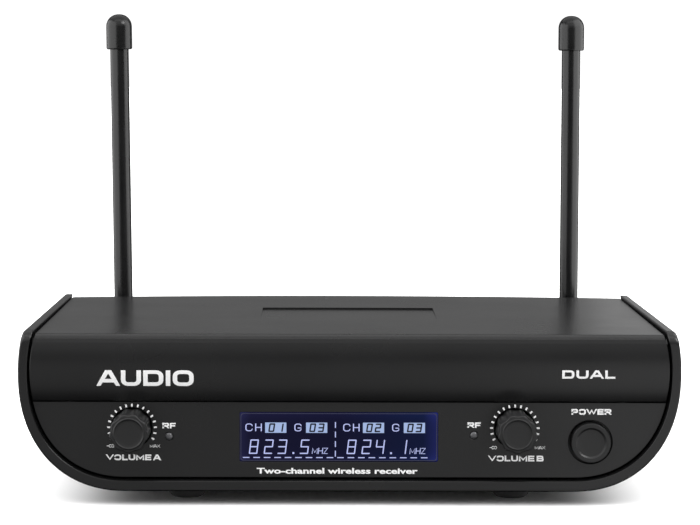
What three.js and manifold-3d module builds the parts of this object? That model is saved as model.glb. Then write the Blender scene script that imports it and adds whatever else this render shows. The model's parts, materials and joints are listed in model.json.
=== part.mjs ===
// Two-channel wireless microphone receiver for a desk top.
// A U-shaped lower casing carries a flush top cover with a curved brow, a recessed control panel with a
// display window, and a rear panel with connectors and two aerials that swivel and tilt.
// Units are millimetres. X runs to the right of the front face, Y to the back and Z up.
// Pieces are drawn with the casing's front edge at Y 0 and the feet standing on Z 0. The last lines move
// the whole receiver so that its origin is under the middle of its bounding box.
import * as THREE from "three";
import { mergeVertices } from "three/addons/utils/BufferGeometryUtils.js";
import Module from "manifold-3d";

const wasm = await Module();
wasm.setup();

// ---- Driving dimensions ----

const GAP = 0.35; // clearance between neighbouring mouldings
const FIT = 0.3; // clearance around small pieces

// Casing
const CASE_DEPTH = 131;
const CASE_BOTTOM_Z = 4.6;
const CASE_FLOOR = 3.4;
const SIDE_WALL = 2.6;
const CASE_TOP_Z = 56.5; // crest of the side walls
const SIDE_CENTRE_X = 72.1; // the curved sides are superellipse quadrants about this point
const SIDE_CENTRE_Z = 42.7;
const SIDE_REACH = 34.3;
const SIDE_RISE = SIDE_CENTRE_Z - CASE_BOTTOM_Z;
const SIDE_POWER = 2.2;
const SIDE_STEPS = 15;
const CREST_STEPS = 4;
const CASE_FRONT_RADIUS = 4; // rounding of the side walls' upper corners, seen from the side
const CASE_REAR_RADIUS = 2;
const FLOOR_TOP_Z = CASE_BOTTOM_Z + CASE_FLOOR;
const RIB = { top: 11, wall: 1.1, halfWidth: 60 }; // floor ribs that keep the two panels upright
const VENT = { x: 32, pitch: 6, width: 2, front: 60, rear: 88 }; // middle and pitch of each row of slots

// Top cover and its brow
const COVER_TOP_Z = 55.3;
const COVER_WALL = 2.5;
const SEAM_Z = 33.5; // lower edge of the brow
const BROW_FRONT_Y = 0.5;
const BROW_CENTRE_Z = 45;
const BROW_RADIUS = 38;
const RECESS = { halfWidth: 30.1, front: 46, rear: 87, depth: 0.65 };

// Front panel
const PANEL_FRONT_Y = 3;
const PANEL_WALL = 2.5;
const PANEL_BACK_Y = PANEL_FRONT_Y + PANEL_WALL;
const PANEL_BOTTOM_Z = FLOOR_TOP_Z + GAP;
const WINDOW = { x: -3.5, z: 21.85, width: 63.5, height: 15.5 };

// Controls
const KNOB_X = { a: -70.4, b: 53.2 };
const KNOB_Z = 24.8;
const KNOB_RADIUS = 6.3;
const KNOB_LOBES = 9;
const KNOB_LOBE_DEPTH = 0.45;
const KNOB_FRONT_Y = -11;
const KNOB_BACK_Y = 7;
const KNOB_HOLE_RADIUS = 6.6;
const KNOB_FACE_ROUNDING = 1.2;
const SHAFT_RADIUS = 2.5;
const SHAFT = { front: -4.5, back: 15.7 };
const LED_X = { a: -58.3, b: 40.15 };
const LED_Z = { a: 22, b: 22.5 };
const LED_RADIUS = 1.22;
const BUTTON = { x: 77.8, z: 20.4, radius: 6.3, hole: 7.15, front: 0.3, flange: 8.2, stem: 2 };
const SWITCH_STEM_Y = 15.2; // how far the button's stem reaches into the switch

// Circuit boards
const BOARD_WALL = 1.6;
const FRONT_BOARD_Y = 19;
const MAIN_BOARD_Z = 12.7;
const MAIN_BOARD = { halfWidth: 60, front: 30, rear: 118 };
const SHIELD = { x: 32, y: 62 };
const CAPACITOR = { x: 30, y: 96 };

// Rear panel and connectors
const REAR_PANEL_BACK_Y = CASE_DEPTH - 1.5;
const REAR_PANEL_FRONT_Y = REAR_PANEL_BACK_Y - PANEL_WALL;
const OUTSIDE_Y = REAR_PANEL_BACK_Y + FIT; // where flanges seat on the rear panel
const XLR_X = { a: -44, b: -10 };
const XLR_Z = 30;
const XLR_RADIUS = 11;
const XLR_BORE = 8.2;
const XLR_START_Y = OUTSIDE_Y - 19.8; // inner end of the barrels
const XLR_SCREW = { x: 9.5, z: 12, hole: 1.6 };
const JACK = { x: 24, z: 28, radius: 5.5, bore: 3.3, start: OUTSIDE_Y - 27.8, end: OUTSIDE_Y + 3.7 };
const INLET = { x: 50, z: 26, radius: 4.2, bore: 3.2, start: OUTSIDE_Y - 16.8, end: OUTSIDE_Y + 0.4 };

// Aerials, drawn about the crossing of their swivel and tilt axes
const AERIAL_X = 83.65;
const AERIAL_Y = 140;
const AERIAL_Z = 38;
const AERIAL_LEAN = { a: -0.74, b: 0 }; // degrees that each aerial was left leaning
const AERIAL_STEM_Y = OUTSIDE_Y - 11.8; // inner end of the threaded stems
const STEM_RADIUS = 5;
const AERIAL_HUB_RADIUS = 6;
const EAR_RADIUS = 4.3;
const TONGUE_RADIUS = 3.35;
const PIN_HOLE_RADIUS = 1.6;
const ROD_RADIUS = 3.45;
const ROD_START_Z = 6;
const CAP_RADIUS = 4.8;
const CAP_BOTTOM_Z = 147 - AERIAL_Z;
const CAP_TOP_Z = 160 - AERIAL_Z;
const CAP_BORE_DEPTH = 7.4;

// Feet and screws
const FOOT = { x: 53.3, front: 18.5, rear: 117, radius: 6, peg: 2, pegTop: 7.2 };
const CASE_SCREW = { x: 66, front: 28, rear: 106 };
const CASE_SCREW_HEAD_Z = 6.1;
const BOSS = { top: 11, radius: 4.5, bore: 1.8, counterbore: 3.2, counterboreTop: 8.4 };
const COVER_POST = { radius: 4, bottom: 11.3, bore: 1.8, boreTop: 24 };
const BOARD_POST = { x: 54, front: 38, rear: 110, radius: 3.2, bore: 1.8 };
const FRONT_BOARD_POSTS = [[-47.5, 22], [65.6, 22]];
const FRONT_BOARD_POST = { radius: 3, bore: 1.6 };

const TURN_SIDES = 24;
const FOOT_SIDES = 20;
const SMALL_SIDES = 12;
const HOLE_SIDES = 32;

// ---- Materials ----

function material(color, roughness, metalness = 0) {
  return new THREE.MeshStandardMaterial({ color, roughness, metalness });
}

const casingBlack = material(0x1b1b1d, 0.55);
const controlBlack = material(0x161618, 0.45);
const rubberBlack = material(0x121212, 0.85);
const aerialBlack = material(0x202022, 0.6);
const connectorBlack = material(0x17171a, 0.4);
const windowTint = material(0x101238, 0.15);
const displayBlue = material(0x1a1658, 0.2);
const lightGuide = material(0xdfe6f5, 0.4);
const ledGrey = material(0x3a3a3e, 0.25);
const boardGreen = material(0x1c5a34, 0.6);
const plated = material(0xb9bcc0, 0.35, 1);
const blackSteel = material(0x2a2a2c, 0.45, 1);
const cableGrey = material(0x8d8f94, 0.6);

// ---- Solids ----

// A closed three.js geometry as a manifold solid.
function solid(geometry) {
  const bare = geometry.clone();
  bare.deleteAttribute("normal");
  bare.deleteAttribute("uv");
  const merged = mergeVertices(bare, 1e-4);
  const triVerts = new Uint32Array(merged.index.array);
  const vertProperties = merged.attributes.position.array;
  return new wasm.Manifold(new wasm.Mesh({ numProp: 3, vertProperties, triVerts }));
}

// A manifold solid as a three.js geometry.
function geometryOf(shape) {
  const mesh = shape.getMesh();
  const geometry = new THREE.BufferGeometry();
  const positions = new THREE.BufferAttribute(new Float32Array(mesh.vertProperties), mesh.numProp);
  geometry.setAttribute("position", positions);
  geometry.setIndex(new THREE.BufferAttribute(new Uint32Array(mesh.triVerts), 1));
  geometry.computeVertexNormals();
  return geometry;
}

function join(first, ...others) {
  return others.reduce((sum, other) => sum.add(other), first);
}

function cut(first, ...tools) {
  return tools.reduce((rest, tool) => rest.subtract(tool), first);
}

function block([x0, x1], [y0, y1], [z0, z1]) {
  const geometry = new THREE.BoxGeometry(x1 - x0, y1 - y0, z1 - z0);
  geometry.translate((x0 + x1) / 2, (y0 + y1) / 2, (z0 + z1) / 2);
  return solid(geometry);
}

function rodAlongX(radius, x0, x1, sides = SMALL_SIDES) {
  const geometry = new THREE.CylinderGeometry(radius, radius, x1 - x0, sides);
  geometry.rotateZ(Math.PI / 2);
  geometry.translate((x0 + x1) / 2, 0, 0);
  return solid(geometry);
}

function rodAlongY(radius, y0, y1, x = 0, z = 0, sides = TURN_SIDES) {
  const geometry = new THREE.CylinderGeometry(radius, radius, y1 - y0, sides);
  geometry.translate(x, (y0 + y1) / 2, z);
  return solid(geometry);
}

function rodAlongZ(radius, z0, z1, x = 0, y = 0, sides = SMALL_SIDES) {
  const geometry = new THREE.CylinderGeometry(radius, radius, z1 - z0, sides);
  geometry.rotateX(Math.PI / 2);
  geometry.translate(x, y, (z0 + z1) / 2);
  return solid(geometry);
}

// An outline in X and Z, drawn out along Y. The bevel rounds both ends inside the outline.
function prismAlongY(shape, y0, y1, bevel = 0) {
  const geometry = new THREE.ExtrudeGeometry(shape, {
    depth: y1 - y0 - 2 * bevel,
    bevelEnabled: bevel > 0,
    bevelThickness: bevel,
    bevelSize: bevel * 0.8,
    bevelOffset: -bevel * 0.8,
    bevelSegments: 2,
    curveSegments: 8,
  });
  geometry.rotateX(Math.PI / 2);
  geometry.translate(0, y1 - bevel, 0);
  return solid(geometry);
}

// An outline in Y and Z, drawn out along X.
function prismAlongX(shape, x0, x1) {
  const geometry = new THREE.ExtrudeGeometry(shape, {
    depth: x1 - x0,
    bevelEnabled: false,
    curveSegments: 8,
  });
  const yzx = new THREE.Matrix4().makeBasis(
    new THREE.Vector3(0, 1, 0),
    new THREE.Vector3(0, 0, 1),
    new THREE.Vector3(1, 0, 0),
  );
  geometry.applyMatrix4(yzx);
  geometry.translate(x0, 0, 0);
  return solid(geometry);
}

// A profile of [radius, height] points, turned about Y or about Z.
function turnedAboutY(profile, sides = TURN_SIDES) {
  const points = profile.map(([radius, y]) => new THREE.Vector2(radius, y));
  return solid(new THREE.LatheGeometry(points, sides));
}

function turnedAboutZ(profile, sides = TURN_SIDES) {
  const points = profile.map(([radius, z]) => new THREE.Vector2(radius, z));
  const geometry = new THREE.LatheGeometry(points, sides);
  geometry.rotateX(Math.PI / 2);
  return solid(geometry);
}

function rectangle(x, z, width, height) {
  const shape = new THREE.Shape();
  shape.moveTo(x - width / 2, z - height / 2);
  shape.lineTo(x + width / 2, z - height / 2);
  shape.lineTo(x + width / 2, z + height / 2);
  shape.lineTo(x - width / 2, z + height / 2);
  shape.closePath();
  return shape;
}

function tubeAlong(points, radius, steps) {
  const outline = new THREE.Shape();
  outline.absarc(0, 0, radius, 0, 2 * Math.PI);
  const path = new THREE.CatmullRomCurve3(points.map((p) => new THREE.Vector3(...p)));
  const options = { steps, curveSegments: 4, bevelEnabled: false, extrudePath: path };
  return solid(new THREE.ExtrudeGeometry(outline, options));
}

// ---- Assembly tree ----

const receiver = new THREE.Group();

function place(name, shape, look, [x, y, z] = [0, 0, 0], parent = receiver) {
  const mesh = new THREE.Mesh(geometryOf(shape), look);
  mesh.name = name;
  mesh.position.set(x, y, z);
  parent.add(mesh);
}

// ---- Casing outlines ----

// Points up the right side, on the curve that lies inside the casing's outer skin by one distance at the
// side and another at the floor.
function sideCurve(sideInset, floorInset, zLow, zHigh) {
  const reach = SIDE_REACH - sideInset;
  const rise = SIDE_RISE - floorInset;
  const angleAt = (z) => {
    const share = Math.min(1, Math.abs(z - SIDE_CENTRE_Z) / rise);
    return Math.sign(z - SIDE_CENTRE_Z) * Math.asin(share ** (SIDE_POWER / 2));
  };
  const start = angleAt(zLow);
  const end = angleAt(zHigh);
  const points = [];
  for (let i = 0; i <= SIDE_STEPS; i++) {
    const angle = start + ((end - start) * i) / SIDE_STEPS;
    const x = SIDE_CENTRE_X + reach * Math.max(0, Math.cos(angle)) ** (2 / SIDE_POWER);
    const z = SIDE_CENTRE_Z + Math.sign(angle) * rise * Math.abs(Math.sin(angle)) ** (2 / SIDE_POWER);
    points.push(new THREE.Vector2(x, z));
  }
  return points;
}

function mirrored(points) {
  return points.map((p) => new THREE.Vector2(-p.x, p.y)).reverse();
}

// What fits between the casing's side walls, between two heights, as an outline in X and Z.
function insideOutline(zLow, zHigh) {
  const right = sideCurve(SIDE_WALL + GAP, CASE_FLOOR + GAP, zLow, zHigh);
  return new THREE.Shape([...right, ...mirrored(right)]);
}

// The casing's wall: out along the outer skin, over a round crest, and back along the inner skin.
function wallOutline() {
  const crestRadius = SIDE_WALL / 2;
  const crestZ = CASE_TOP_Z - crestRadius;
  const outer = sideCurve(0, 0, CASE_BOTTOM_Z, crestZ);
  const inner = sideCurve(SIDE_WALL, CASE_FLOOR, FLOOR_TOP_Z, crestZ);
  const outerEnd = outer[outer.length - 1];
  const innerEnd = inner[inner.length - 1];
  const middleX = (outerEnd.x + innerEnd.x) / 2;
  const halfWall = (outerEnd.x - innerEnd.x) / 2;
  const crest = [];
  for (let i = 1; i < CREST_STEPS; i++) {
    const angle = (Math.PI * i) / CREST_STEPS;
    crest.push(new THREE.Vector2(
      middleX + halfWall * Math.cos(angle),
      crestZ + crestRadius * Math.sin(angle),
    ));
  }
  const right = [...outer, ...crest, ...inner.reverse()];
  return new THREE.Shape([...right, ...mirrored(right)]);
}

// What is cut off a side wall's upper corner, in Y and Z. Outward is -1 at the front and 1 at the rear.
function cornerOutline(cornerY, radius, outward) {
  const shape = new THREE.Shape();
  const centreY = cornerY - outward * radius;
  const centreZ = CASE_TOP_Z - radius;
  shape.moveTo(cornerY + outward, centreZ);
  shape.lineTo(cornerY + outward, CASE_TOP_Z + 1);
  shape.lineTo(centreY, CASE_TOP_Z + 1);
  shape.absarc(centreY, centreZ, radius, Math.PI / 2, outward > 0 ? 0 : Math.PI, outward > 0);
  shape.closePath();
  return shape;
}

function fourCorners({ x, front, rear }) {
  return [[-x, front], [x, front], [-x, rear], [x, rear]];
}

// ---- Casing ----

function bottomShell() {
  const throughFloor = [CASE_BOTTOM_Z - 1, FLOOR_TOP_Z + 1];
  const vents = [-VENT.x, VENT.x].flatMap((middle) => [-2, -1, 0, 1, 2].map((i) => {
    const x = middle + i * VENT.pitch;
    return block([x - VENT.width / 2, x + VENT.width / 2], [VENT.front, VENT.rear], throughFloor);
  }));
  const frontRibY = PANEL_BACK_Y + GAP;
  const rearRibY = REAR_PANEL_FRONT_Y - GAP - RIB.wall;
  const ribs = [frontRibY, rearRibY].map((y) =>
    block([-RIB.halfWidth, RIB.halfWidth], [y, y + RIB.wall], [FLOOR_TOP_Z - 1, RIB.top]));
  const bosses = fourCorners(CASE_SCREW).map(([x, y]) =>
    rodAlongZ(BOSS.radius, FLOOR_TOP_Z - 1, BOSS.top, x, y));
  const posts = fourCorners(BOARD_POST).map(([x, y]) =>
    rodAlongZ(BOARD_POST.radius, FLOOR_TOP_Z - 1, MAIN_BOARD_Z - FIT, x, y));
  const screwHoles = fourCorners(CASE_SCREW).flatMap(([x, y]) => [
    rodAlongZ(BOSS.bore, CASE_BOTTOM_Z - 1, BOSS.top + 1, x, y),
    rodAlongZ(BOSS.counterbore, CASE_BOTTOM_Z - 1, BOSS.counterboreTop, x, y),
  ]);
  const postHoles = fourCorners(BOARD_POST).map(([x, y]) =>
    rodAlongZ(BOARD_POST.bore, FLOOR_TOP_Z + FIT, MAIN_BOARD_Z + 1, x, y));
  const footHoles = fourCorners(FOOT).map(([x, y]) =>
    rodAlongZ(FOOT.peg + FIT, ...throughFloor, x, y));
  const reach = SIDE_CENTRE_X + SIDE_REACH + 1;
  const corners = [
    prismAlongX(cornerOutline(0, CASE_FRONT_RADIUS, -1), -reach, reach),
    prismAlongX(cornerOutline(CASE_DEPTH, CASE_REAR_RADIUS, 1), -reach, reach),
  ];
  const wall = prismAlongY(wallOutline(), 0, CASE_DEPTH);
  const built = join(wall, ...ribs, ...bosses, ...posts);
  return cut(built, ...vents, ...screwHoles, ...postHoles, ...footHoles, ...corners);
}

// The cover's side section: a flat top that turns down over the arc of the brow.
function coverSection() {
  const rearY = CASE_DEPTH - FIT;
  const centreY = BROW_FRONT_Y + BROW_RADIUS;
  const innerRadius = BROW_RADIUS - COVER_WALL;
  const innerTopZ = COVER_TOP_Z - COVER_WALL;
  const angle = (z, radius) => Math.PI - Math.asin((z - BROW_CENTRE_Z) / radius);
  const shape = new THREE.Shape();
  shape.moveTo(rearY, COVER_TOP_Z);
  shape.absarc(centreY, BROW_CENTRE_Z, BROW_RADIUS,
    angle(COVER_TOP_Z, BROW_RADIUS), angle(SEAM_Z, BROW_RADIUS), false);
  shape.absarc(centreY, BROW_CENTRE_Z, innerRadius,
    angle(SEAM_Z, innerRadius), angle(innerTopZ, innerRadius), true);
  shape.lineTo(rearY, innerTopZ);
  shape.closePath();
  return shape;
}

function topCover() {
  const reach = SIDE_CENTRE_X + SIDE_REACH;
  const sheet = prismAlongX(coverSection(), -reach, reach);
  const inside = prismAlongY(insideOutline(SEAM_Z - 1, COVER_TOP_Z + 1), -1, CASE_DEPTH);
  const wedge = new THREE.Shape([
    new THREE.Vector2(RECESS.front, COVER_TOP_Z),
    new THREE.Vector2(RECESS.rear, COVER_TOP_Z - RECESS.depth),
    new THREE.Vector2(RECESS.rear, COVER_TOP_Z + 1),
    new THREE.Vector2(RECESS.front, COVER_TOP_Z + 1),
  ]);
  const posts = fourCorners(CASE_SCREW).map(([x, y]) =>
    rodAlongZ(COVER_POST.radius, COVER_POST.bottom, COVER_TOP_Z - COVER_WALL / 2, x, y));
  const bores = fourCorners(CASE_SCREW).map(([x, y]) =>
    rodAlongZ(COVER_POST.bore, COVER_POST.bottom - 1, COVER_POST.boreTop, x, y));
  const recess = prismAlongX(wedge, -RECESS.halfWidth, RECESS.halfWidth);
  return cut(join(sheet.intersect(inside), ...posts), recess, ...bores);
}

function frontPanel() {
  const sheet = prismAlongY(
    insideOutline(PANEL_BOTTOM_Z, SEAM_Z - FIT), PANEL_FRONT_Y, PANEL_BACK_Y);
  const posts = FRONT_BOARD_POSTS.map(([x, z]) =>
    rodAlongY(FRONT_BOARD_POST.radius, PANEL_BACK_Y - 1, FRONT_BOARD_Y - FIT, x, z, SMALL_SIDES));
  const bores = FRONT_BOARD_POSTS.map(([x, z]) =>
    rodAlongY(FRONT_BOARD_POST.bore, PANEL_BACK_Y + 3.5, FRONT_BOARD_Y + 1, x, z, SMALL_SIDES));
  const through = [PANEL_FRONT_Y - 1, PANEL_BACK_Y + 1];
  const window = rectangle(WINDOW.x, WINDOW.z, WINDOW.width + 2 * FIT, WINDOW.height + 2 * FIT);
  const holes = [
    prismAlongY(window, ...through),
    rodAlongY(KNOB_HOLE_RADIUS, ...through, KNOB_X.a, KNOB_Z, HOLE_SIDES),
    rodAlongY(KNOB_HOLE_RADIUS, ...through, KNOB_X.b, KNOB_Z, HOLE_SIDES),
    rodAlongY(BUTTON.hole, ...through, BUTTON.x, BUTTON.z, HOLE_SIDES),
    rodAlongY(LED_RADIUS + 0.2, ...through, LED_X.a, LED_Z.a, SMALL_SIDES),
    rodAlongY(LED_RADIUS + 0.2, ...through, LED_X.b, LED_Z.b, SMALL_SIDES),
  ];
  return cut(join(sheet, ...posts), ...bores, ...holes);
}

function rearPanel() {
  const top = COVER_TOP_Z - COVER_WALL - FIT;
  const sheet = prismAlongY(
    insideOutline(PANEL_BOTTOM_Z, top), REAR_PANEL_FRONT_Y, REAR_PANEL_BACK_Y);
  const through = [REAR_PANEL_FRONT_Y - 1, REAR_PANEL_BACK_Y + 1];
  const holes = [
    rodAlongY(JACK.radius + FIT, ...through, JACK.x, JACK.z),
    rodAlongY(INLET.radius + FIT, ...through, INLET.x, INLET.z),
    rodAlongY(STEM_RADIUS + FIT, ...through, -AERIAL_X, AERIAL_Z),
    rodAlongY(STEM_RADIUS + FIT, ...through, AERIAL_X, AERIAL_Z),
  ];
  for (const x of Object.values(XLR_X)) {
    holes.push(rodAlongY(XLR_RADIUS + FIT, ...through, x, XLR_Z));
    holes.push(rodAlongY(XLR_SCREW.hole, ...through, x - XLR_SCREW.x, XLR_Z + XLR_SCREW.z, SMALL_SIDES));
    holes.push(rodAlongY(XLR_SCREW.hole, ...through, x + XLR_SCREW.x, XLR_Z - XLR_SCREW.z, SMALL_SIDES));
  }
  return cut(sheet, ...holes);
}

function displayWindow() {
  const pane = rectangle(0, 0, WINDOW.width, WINDOW.height);
  const flange = rectangle(0, 0, WINDOW.width + 3, WINDOW.height + 3);
  return join(
    prismAlongY(pane, PANEL_FRONT_Y + 0.2, PANEL_BACK_Y + 0.8),
    prismAlongY(flange, PANEL_BACK_Y + FIT, PANEL_BACK_Y + FIT + 1),
  );
}

// A rubber foot, round at its lower edge, with a peg that plugs into the casing's floor.
function foot() {
  const top = CASE_BOTTOM_Z - FIT;
  return turnedAboutZ([
    [0, 0], [FOOT.radius - 2, 0], [FOOT.radius - 0.6, 0.6], [FOOT.radius, 2], [FOOT.radius, top],
    [FOOT.peg, top], [FOOT.peg, FOOT.pegTop], [0, FOOT.pegTop],
  ], FOOT_SIDES);
}

// A pan-head screw standing on its head, with the shank up.
function screw(headRadius, headHeight, shankRadius, length) {
  return turnedAboutZ([
    [0, 0], [headRadius, 0], [headRadius, headHeight], [shankRadius, headHeight],
    [shankRadius, headHeight + length], [0, headHeight + length],
  ], SMALL_SIDES);
}

place("bottom_shell", bottomShell(), casingBlack);
place("top_cover", topCover(), casingBlack);
place("front_panel", frontPanel(), casingBlack);
place("rear_panel", rearPanel(), casingBlack);
place("display_window", displayWindow(), windowTint, [WINDOW.x, 0, WINDOW.z]);
const cornerNames = ["front_left", "front_right", "rear_left", "rear_right"];
fourCorners(FOOT).forEach(([x, y], i) => {
  place(`foot_${cornerNames[i]}`, foot(), rubberBlack, [x, y, 0]);
});
fourCorners(CASE_SCREW).forEach(([x, y], i) => {
  place(`case_screw_${cornerNames[i]}`, screw(2.8, 2, 1.45, 13), blackSteel,
    [x, y, CASE_SCREW_HEAD_Z]);
});

// ---- Display ----

const LCD = { width: 71, height: 24, front: 7.1, wall: 0.8, back: 13.5 };
const LCD_GLASS = [8.2, 10.2]; // front and back of each layer behind the window
const LCD_BACKLIGHT = [10.5, 13.2];
const DISPLAY_BOARD = { width: 78, height: 25.4, layer: [13.8, 15.4] };

function lcdBezel() {
  const { width, height, front, wall, back } = LCD;
  const outer = prismAlongY(rectangle(0, 0, width, height), front, back);
  const pocket = rectangle(0, 0, width - 2 * wall, height - 2 * wall);
  const view = rectangle(0, 0, WINDOW.width + 1, WINDOW.height + 1);
  return cut(outer, prismAlongY(pocket, front + wall, back + 1), prismAlongY(view, front - 1, back));
}

function lcdPlate(y0, y1) {
  const margin = 2 * (LCD.wall + FIT);
  return prismAlongY(rectangle(0, 0, LCD.width - margin, LCD.height - margin), y0, y1);
}

const displayPlace = [WINDOW.x, 0, WINDOW.z];
place("lcd_bezel", lcdBezel(), blackSteel, displayPlace);
place("lcd_glass", lcdPlate(...LCD_GLASS), displayBlue, displayPlace);
place("lcd_backlight", lcdPlate(...LCD_BACKLIGHT), lightGuide, displayPlace);
const displayBoard = rectangle(0, 0, DISPLAY_BOARD.width, DISPLAY_BOARD.height);
place("display_board", prismAlongY(displayBoard, ...DISPLAY_BOARD.layer), boardGreen, displayPlace);

// ---- Controls ----

const POT = { halfWidth: 4.9, halfHeight: 5.5, front: 12 };
const BUSHING = { radius: 3.6, front: 8.5 };
const LAMP_LEG = { offset: 0.9, half: 0.25 };
const SWITCH = { half: 5, front: 13 };
const FRONT_BOARD = { halfWidth: 86, bottom: 14, top: 32 };

// A volume knob: rounded lobes around a dished face, bored from behind for its shaft.
function volumeKnob() {
  const outline = new THREE.Shape();
  const steps = KNOB_LOBES * 4;
  for (let i = 0; i < steps; i++) {
    const angle = (2 * Math.PI * i) / steps;
    const groove = 1 - Math.abs(Math.cos((KNOB_LOBES * angle) / 2));
    const radius = KNOB_RADIUS - KNOB_LOBE_DEPTH * groove;
    const point = [radius * Math.cos(angle), radius * Math.sin(angle)];
    if (i === 0) outline.moveTo(...point);
    else outline.lineTo(...point);
  }
  outline.closePath();
  const body = prismAlongY(outline, KNOB_FRONT_Y, KNOB_BACK_Y, KNOB_FACE_ROUNDING);
  const dish = turnedAboutY([
    [0, KNOB_FRONT_Y - 1], [4.6, KNOB_FRONT_Y - 1], [4.6, KNOB_FRONT_Y],
    [3.2, KNOB_FRONT_Y + 0.3], [0, KNOB_FRONT_Y + 0.5],
  ]);
  return cut(body, dish, rodAlongY(SHAFT_RADIUS + FIT, SHAFT.front - FIT, KNOB_BACK_Y + 1));
}

// A board-mounted potentiometer with a short bushing for its shaft.
function volumePot() {
  const { halfWidth, halfHeight, front } = POT;
  const body = block([-halfWidth, halfWidth], [front, FRONT_BOARD_Y - FIT], [-halfHeight, halfHeight]);
  const bushing = rodAlongY(BUSHING.radius, BUSHING.front, front + 1);
  const bore = rodAlongY(SHAFT_RADIUS + FIT, BUSHING.front - 1, SHAFT.back + FIT);
  return cut(join(body, bushing), bore);
}

// A small lamp: domed lens, flange, and two legs back to the board.
function lamp() {
  const lens = turnedAboutY([
    [0, 2.6], [0.8, 2.75], [LED_RADIUS, 3.2], [LED_RADIUS, 8], [1.7, 8], [1.7, 9], [0, 9],
  ], SMALL_SIDES);
  const { offset, half } = LAMP_LEG;
  const legs = [-offset, offset].map((z) =>
    block([-half, half], [8.5, FRONT_BOARD_Y - FIT], [z - half, z + half]));
  return join(lens, ...legs);
}

// The power button: dished cap, a flange behind the panel, and a stem into the switch.
function powerButton() {
  const { radius, front, flange, stem } = BUTTON;
  const flangeY = PANEL_BACK_Y + GAP;
  return turnedAboutY([
    [0, front + 0.4], [3.2, front + 0.25], [4.9, front], [radius - 1, front],
    [radius - 0.3, front + 0.3], [radius, front + 1], [radius, flangeY], [flange, flangeY],
    [flange, flangeY + 1.5], [stem, flangeY + 1.5], [stem, SWITCH_STEM_Y], [0, SWITCH_STEM_Y],
  ]);
}

function powerSwitch() {
  const { half, front } = SWITCH;
  const body = block([-half, half], [front, FRONT_BOARD_Y - FIT], [-half, half]);
  return cut(body, rodAlongY(BUTTON.stem + 0.4, front - 1, SWITCH_STEM_Y + 3));
}

function frontBoard() {
  const { halfWidth, bottom, top } = FRONT_BOARD;
  const backY = FRONT_BOARD_Y + BOARD_WALL;
  const sheet = block([-halfWidth, halfWidth], [FRONT_BOARD_Y, backY], [bottom, top]);
  const holes = FRONT_BOARD_POSTS.map(([x, z]) =>
    rodAlongY(FRONT_BOARD_POST.bore, FRONT_BOARD_Y - 1, backY + 1, x, z, SMALL_SIDES));
  return cut(sheet, ...holes);
}

// A screw driven towards the front.
function rearDrivenScrew(headRadius, headHeight, shankRadius, length) {
  return turnedAboutY([
    [0, -length], [shankRadius, -length], [shankRadius, 0], [headRadius, 0],
    [headRadius, headHeight], [0, headHeight],
  ], SMALL_SIDES);
}

for (const channel of ["a", "b"]) {
  const knobPlace = [KNOB_X[channel], 0, KNOB_Z];
  const shaft = rodAlongY(SHAFT_RADIUS, SHAFT.front, SHAFT.back);
  place(`volume_knob_${channel}`, volumeKnob(), controlBlack, knobPlace);
  place(`pot_shaft_${channel}`, shaft, plated, knobPlace);
  place(`volume_pot_${channel}`, volumePot(), connectorBlack, knobPlace);
  place(`rf_led_${channel}`, lamp(), ledGrey, [LED_X[channel], 0, LED_Z[channel]]);
}
place("power_button", powerButton(), controlBlack, [BUTTON.x, 0, BUTTON.z]);
place("power_switch", powerSwitch(), connectorBlack, [BUTTON.x, 0, BUTTON.z]);
place("front_board", frontBoard(), boardGreen);
FRONT_BOARD_POSTS.forEach(([x, z], i) => {
  const headY = FRONT_BOARD_Y + BOARD_WALL + FIT;
  place(`front_board_screw_${i + 1}`, rearDrivenScrew(2.6, 1.6, 1.25, 10), plated, [x, headY, z]);
});

// ---- Main board ----

const boardTop = MAIN_BOARD_Z + BOARD_WALL;
const onBoard = boardTop + FIT;

function mainBoard() {
  const { halfWidth, front, rear } = MAIN_BOARD;
  const sheet = block([-halfWidth, halfWidth], [front, rear], [MAIN_BOARD_Z, boardTop]);
  const holes = fourCorners(BOARD_POST).map(([x, y]) =>
    rodAlongZ(BOARD_POST.bore, MAIN_BOARD_Z - 1, boardTop + 1, x, y));
  return cut(sheet, ...holes);
}

// A folded can over a radio circuit, open underneath.
function shieldCan() {
  const outer = block([-15, 15], [-18, 18], [0, 7]);
  return cut(outer, block([-14.5, 14.5], [-17.5, 17.5], [-1, 6.5]));
}

function filterCapacitor() {
  return turnedAboutZ([[0, 0], [4, 0], [4, 12.5], [3.6, 13], [0, 13]]);
}

// A flat cable that drops from the front board and curves back onto the main board.
function ribbonCable() {
  const startY = FRONT_BOARD_Y + BOARD_WALL + FIT;
  const shape = new THREE.Shape();
  shape.moveTo(startY, 28);
  shape.lineTo(startY, 26.8);
  shape.quadraticCurveTo(startY + 12, 27, startY + 12.4, onBoard);
  shape.lineTo(startY + 13.6, onBoard);
  shape.quadraticCurveTo(startY + 13, 28, startY, 28);
  return prismAlongX(shape, -12, 12);
}

place("main_board", mainBoard(), boardGreen);
place("rf_shield_a", shieldCan(), plated, [-SHIELD.x, SHIELD.y, onBoard]);
place("rf_shield_b", shieldCan(), plated, [SHIELD.x, SHIELD.y, onBoard]);
place("filter_capacitor", filterCapacitor(), connectorBlack, [CAPACITOR.x, CAPACITOR.y, onBoard]);
place("ribbon_cable", ribbonCable(), cableGrey);
const boardScrew = turnedAboutZ([
  [0, -4.2], [1.45, -4.2], [1.45, 0], [2.8, 0], [2.8, 2], [0, 2],
], SMALL_SIDES);
place("main_board_screw_left", boardScrew, plated, [-BOARD_POST.x, BOARD_POST.front, onBoard]);
place("main_board_screw_right", boardScrew, plated, [BOARD_POST.x, BOARD_POST.rear, onBoard]);

// ---- Rear connectors ----

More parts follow.
